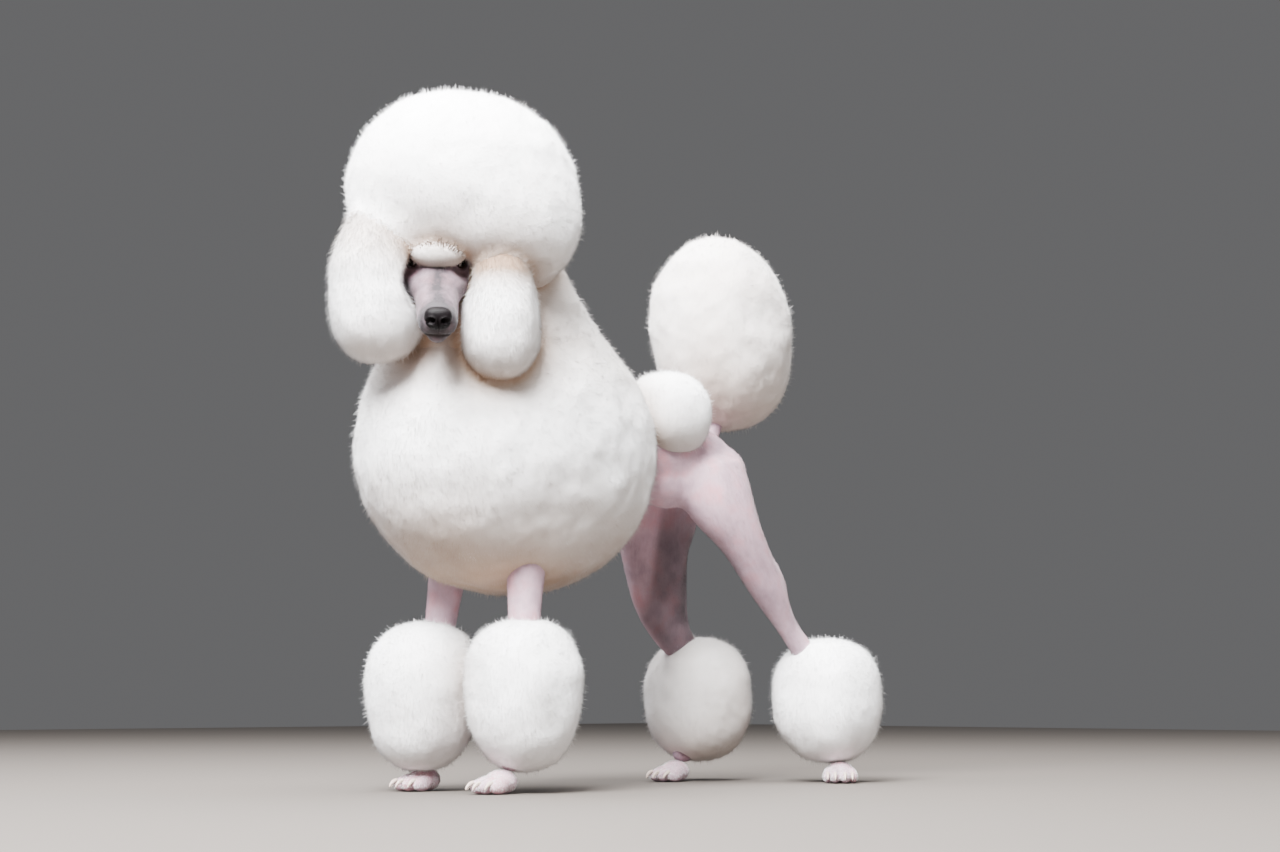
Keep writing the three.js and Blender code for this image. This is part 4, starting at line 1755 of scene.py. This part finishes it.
        # Painted shade on the legs' inner sides, below the body
        inside = smooth_step(-0.3, 1.0, -np.sign(y) * normals[:, 1]) * (1 - smooth_step(380, 460, z))
        behind = smooth_step(0.0, 0.9, -normals[:, 0]) * (1 - smooth_step(420, 500, z))
        dapple = np.clip(0.5 + 0.6 * noise(points, 38, 31) + 0.35 * noise(points, 16, 32), 0, 1)
        legs = smooth_step(-380, -400, x)
        low = 1 - smooth_step(330, 420, z)
        grey = legs * (0.42 * inside + 0.3 * behind * dapple + 0.2) + 0.2 * dapple * low
        return np.clip(grey, 0, 1)

    def face_tones(self, local: Array) -> tuple[Array, Array]:
        """How grey and how dark each point of the face is, from where it lies on the head.

        Args:
            local: the skin's points in the head's frame.

        Returns:
            The grey of the muzzle, with painted shade on the face's sides and by the eyes' inner corners, and
            the dark of lips, lids and the creases by the mouth's corners, which is partly painted shadow, both
            from 0 to 1.
        """
        x, y, z = local.T
        side = np.abs(y)
        muzzle = smooth_step(20, 80, x)
        bridge = smooth_step(50, 80, x) * np.exp(-(y / 13) ** 2) * smooth_step(-26, -6, z + 0.25 * (x - 60))
        # Painted shade in the hollow by the eyes' inner corners
        corner = np.exp(-((side - 20) / 9) ** 2 - ((x - 58) / 16) ** 2 - ((z - 8) / 12) ** 2)
        # Painted shade on the sides of the face
        cheek_shade = smooth_step(26, 38, side) * smooth_step(20, 50, x) * (1 - smooth_step(96, 120, x))
        around_nose = np.exp(-((x - 172) / 16) ** 2)
        # Painted shade on the sides of the muzzle
        flank_shade = smooth_step(14, 27, side) * smooth_step(60, 100, x)
        grey = 0.64 * muzzle + 0.34 * bridge + 0.35 * corner + 0.15 * cheek_shade + 0.3 * around_nose + 0.1 * flank_shade
        grey += 0.08 * noise(local, 9, 21) + 0.05 * noise(local, 3.5, 22)
        lips = np.array(self.head.lip_line)
        off = z - np.interp(x, lips[:, 0], lips[:, 1])
        lip = np.exp(-np.where(off > 0, off / 2.2, off / 3.4) ** 2) * smooth_step(70, 84, x)
        away = np.linalg.norm(np.stack([x, side, z], axis=1) - np.array(EYE_PLACE), axis=1)
        lid = 1 - smooth_step(12.4, 15.5, away)
        under_nose = smooth_step(160, 172, x) * np.exp(-(y / 13) ** 2) * np.exp(-((z + 50) / 8) ** 2)
        # The crease at each corner of the mouth: partly the skin's own crease, partly the ears' painted shadow
        fold_shade = 0.35 * np.exp(-((side - 33) / 5) ** 2 - ((x - 76) / 13) ** 2 - ((z + 30) / 13) ** 2)
        chin = smooth_step(130, 150, x) * smooth_step(-50, -56, z)
        dark = 0.9 * lip + lid + 0.6 * under_nose + fold_shade + 0.3 * corner + 0.1 * chin
        return np.clip(grey, 0, 1), np.clip(dark, 0, 1)


@dataclass(frozen=True)
class Down:
    """The short hair that the clipper leaves: tiny spikes along the skin, shortest on the face and feet.

    Long is their length, lift how far they stand off the skin, and lie the way they point.
    """

    name: str
    per_cm2: float
    long: float
    lift: float
    lie: tuple[float, float, float]
    width: float = 0.9

    def build(
            self, points: Array, faces: Array, shade: Array, chart: Callable[[Array], Array],
            material: bpy.types.Material) -> None:
        """Spikes rooted evenly over the faces: a ring under the skin and a tip drawn out along the lie.

        Args:
            points: the skin's points in the dog's frame.
            faces: its triangles where this hair grows.
            shade: how dark the skin is at each point, its painted shade included, from 0 to 1.
            chart: gives points their places on an unwrap of the skin.
            material: the hair's finish.
        """
        random = np.random.default_rng(len(self.name))
        corners = points[faces]
        cross = np.cross(corners[:, 1] - corners[:, 0], corners[:, 2] - corners[:, 0])
        area = np.linalg.norm(cross, axis=1) / 2
        count = int(area.sum() / 100 * self.per_cm2)
        chosen = random.choice(len(faces), count, p=area / area.sum())
        share = random.random((count, 2))
        share = np.where(share.sum(axis=1, keepdims=True) > 1, 1 - share, share)
        root = corners[chosen, 0] + (corners[chosen, 1] - corners[chosen, 0]) * share[:, :1]
        root = root + (corners[chosen, 2] - corners[chosen, 0]) * share[:, 1:]
        normal = unit(cross[chosen])
        wish = np.array(self.lie) + 0.25 * random.normal(size=(count, 3))
        along = unit(wish - normal * (wish * normal).sum(axis=1, keepdims=True))
        hair = unit(along + self.lift * normal)
        side = np.cross(normal, along)
        length = self.long * (1 + 0.25 * random.standard_normal(count)).clip(0.5, 1.6)
        rings = [root - 0.35 * normal + way * (self.width / 2) for way in three_ways(side, normal)]
        spikes = np.stack([*rings, root + hair * length[:, None]], axis=1)
        light = np.repeat(normal[:, None], 4, axis=1)
        # The hair takes the skin's darkness, painted shade included
        tone = shade[faces[chosen]].mean(axis=1) + 0.04 * random.standard_normal(count)
        mesh = spike_mesh(self.name, spikes, light, chart(root), np.clip(tone, 0, 1))
        show(self.name, mesh, material)


@dataclass
class Eye:
    """One eye: a ball with a raised cornea, dark brown."""

    side: Side

    def build(self, material: bpy.types.Material) -> None:
        """A grid of turn and angle from the gaze, whose radius rises over the cornea.

        Args:
            material: its finish.
        """
        away, local = sphere_grid(40, 48, 0.01)
        radius = EYE_RADIUS + 0.9 * np.clip(1 - (away / 0.7) ** 2, 0, 1)
        gaze = turn_about("Z", self.side.value * EYE_LOOK) @ turn_about("Y", 88)
        points, faces = closed_tube((local * radius[..., None]) @ gaze.T + eye_centre(self.side))
        name = "eye_" + self.side.name.lower()
        mesh = mesh_of(name + "_ball", HEAD.to_dog(points), faces)
        set_attribute(mesh, "gaze", np.concatenate([(away / math.pi).ravel() * 2, [2.0, 0.0]]))
        piece = show(name + "_ball", mesh, material)
        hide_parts(name)


@dataclass
class Nose:
    """The nose leather: a blunt pad with two comma-shaped nostrils and a groove down its middle."""

    centre: tuple[float, float, float] = (178.0, 0.0, -27.0)
    half: tuple[float, float, float] = (12.5, 18.8, 15.5)

    def build(self, material: bpy.types.Material) -> None:
        """A grid of turn and angle from straight ahead, its radius a superellipsoid's less the openings.

        Args:
            material: its finish.
        """
        rows, around = 90, 120
        flat = np.roll(sphere_grid(rows, around, 0.01)[1].reshape(-1, 3), 1, axis=1)
        share = flat / (np.abs(flat) ** 2.5).sum(axis=1, keepdims=True) ** (1 / 2.5)
        points = share * np.array(self.half)
        points[:, 1] *= 1 + 0.1 * share[:, 2]
        front = smooth_step(-0.1, 0.5, share[:, 0])
        side = np.abs(points[:, 1])
        hole = np.hypot((side - 9.0) / 4.2, (points[:, 2] + 0.5) / 3.4)
        slit = np.hypot((side - 14) / 5.5, (points[:, 2] + 3.6) / 1.4)
        pit = 7.5 * np.exp(-hole**4) + 3.2 * np.exp(-slit**2)
        rim = 0.9 * np.exp(-((hole - 1.55) / 0.45) ** 2)
        groove = 1.3 * np.exp(-(points[:, 1] / 1.1) ** 2) * smooth_step(4, -4, points[:, 2])
        sink = (pit * front + groove * front - rim * front)[:, None]
        points -= unit(points) * np.minimum(sink, 0.7 * np.linalg.norm(points, axis=1, keepdims=True))
        shell, faces = closed_tube(points.reshape(rows, around, 3) + np.array(self.centre))
        mesh = mesh_of("nose_pad", HEAD.to_dog(shell), faces)
        piece = show("nose_pad", mesh, material)
        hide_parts("nose")


@dataclass
class Claws:
    """Sixteen claws: curved cones from the toes down to just above the floor.

    Each ring is how far ahead of the root it lies, its height, and its half width and depth.
    """

    sunk: float = 6.0
    rings: tuple[tuple[float, float, float, float], ...] = (
        (0, 15.2, 3.1, 3.4), (5, 15.2, 2.9, 3.2), (9, 13.2, 2.4, 2.8), (12.5, 9.8, 1.7, 2.0),
        (14.5, 6.4, 0.8, 0.9))

    def build(self, material: bpy.types.Material) -> None:
        """One piece for each claw, in its solid's place.

        Args:
            material: the horn's finish.
        """
        for paw, place in PAWS.items():
            for number, toe in enumerate(TOES):
                self.claw(material, f"claw_{paw}_{number + 1}", place, toe)

    def claw(self, material: bpy.types.Material, name: str, place: PawPlace, toe: Toe) -> None:
        """A claw: elliptical rings along an arc, thinner to the tip.

        Args:
            material: the horn's finish.
            name: its solid's name.
            place: its paw.
            toe: its toe.
        """
        root = toe.x + toe.reach - self.sunk
        arc = tuple((root + ahead, toe.y, *size) for ahead, *size in self.rings)
        points, faces = Limb(arc).shell(sides=16, step=0.8)
        mesh = mesh_of(name + "_horn", place.to_dog(points), faces)
        along = np.linalg.norm(points - np.array(arc[0][:3]), axis=1)
        set_attribute(mesh, "lie", np.stack([along * 0.15, points[:, 1], points[:, 2] * 0.3], axis=1))
        piece = show(name + "_horn", mesh, material)
        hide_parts(name)


# Studio


@dataclass
class Studio:
    """A pale floor, soft lamps and a camera low down in front of the dog, to its left."""

    camera_place: tuple[float, float, float] = (1877.0, 2351.0, 130.0)
    view: tuple[float, float] = (-0.731, 0.682)
    pitch: float = 7.4
    lens: float = 59.06
    sensor: float = 36.0
    floor_half: float = 6000.0

    def floor(self) -> None:
        """A wide plate whose top is the plane that the paws stand on."""
        corners = np.array([[-1.0, -1.0, 0], [1.0, -1.0, 0], [1.0, 1.0, 0], [-1.0, 1.0, 0]]) * self.floor_half
        mesh = mesh_of("floor", corners, [np.array([[0, 1, 2, 3]])])
        mesh.materials.append(StudioFloor().build())
        add_object("floor", mesh)

    def camera(self) -> None:
        """The camera at the photograph's place: along the view, then pitched up."""
        data = bpy.data.cameras.new("camera")
        data.sensor_width = self.sensor
        data.lens = self.lens
        data.clip_end = 50
        holder = add_object("camera", data)
        holder.location = Vector(PART.points(np.array([self.camera_place]))[0])
        pitch = math.radians(self.pitch)
        ahead = Vector((self.view[0] * math.cos(pitch), self.view[1] * math.cos(pitch), math.sin(pitch)))
        holder.rotation_euler = ahead.to_track_quat("-Z", "Y").to_euler()
        bpy.context.scene.camera = holder

    @staticmethod
    def lamp(name: str, place: tuple[float, float, float], size: float, power: float, tone: str) -> None:
        """A square soft lamp that looks at the middle of the dog.

        Args:
            name: the lamp's name.
            place: metres in the part's frame.
            size: its side in metres.
            power: watts.
            tone: its colour.
        """
        data = bpy.data.lights.new(name, "AREA")
        data.size = size
        data.energy = power
        data.color = colour(tone)[:3]
        holder = add_object(name, data)
        holder.location = place
        aim = Vector((0, 0, 0.5)) - Vector(place)
        holder.rotation_euler = aim.to_track_quat("-Z", "Y").to_euler()

    def build(self) -> None:
        """Floor, camera, lamps and the pale grey room."""
        self.floor()
        self.camera()
        self.lamp("key", (1.4, -2.6, 3.2), 2.0, 1500, "#FFFFFF")
        self.lamp("left_fill", (-3.0, -1.6, 1.6), 2.6, 75, "#F2F5FF")
        self.lamp("right_fill", (3.0, 0.8, 1.6), 2.6, 45, "#FFFCF8")
        self.lamp("top", (0.0, -0.3, 3.2), 2.4, 600, "#FFFFFF")
        world = bpy.data.worlds.new("room")
        world.use_nodes = True
        tree = world.node_tree
        tree.nodes.clear()
        air = add_node(tree, "Background", {"Color": colour("#A7A7A9"), "Strength": 0.36})
        add_node(tree, "OutputWorld", {"Surface": air.outputs[0]})
        bpy.context.scene.world = world


def write_sizes() -> None:
    """Brings the scene's view layer up to date."""
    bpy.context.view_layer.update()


def main() -> None:
    """Builds the dog from the skin outwards, then the studio round it."""
    logging.basicConfig(level=logging.INFO, format="%(message)s")
    hair = BrushedHair().build()
    # The clipped hair's tint is the skin's dark grey, mixed in by the skin's darkness, painted shade included
    clipped = BrushedHair("clipped_poodle_hair", "#BFA7B2", "#B0939F", "#A58593", "#2C252A", sheen=0.08)
    Skin().build(ClippedSkin().build(), (clipped.build(), hair))
    horn = ClawHorn().build()
    Claws().build(horn)
    eye = WetEye().build()
    for side in Side:
        Eye(side).build(eye)
    Nose().build(NoseLeather().build())
    show_clip().build(hair)
    Studio().build()
    write_sizes()
    meshes = [piece.data for piece in bpy.data.objects if piece.type == "MESH" and not piece.hide_render]
    log.info("triangles in all: %d", sum(len(mesh.loops) - 2 * len(mesh.polygons) for mesh in meshes))


if __name__ == "__main__":
    main()
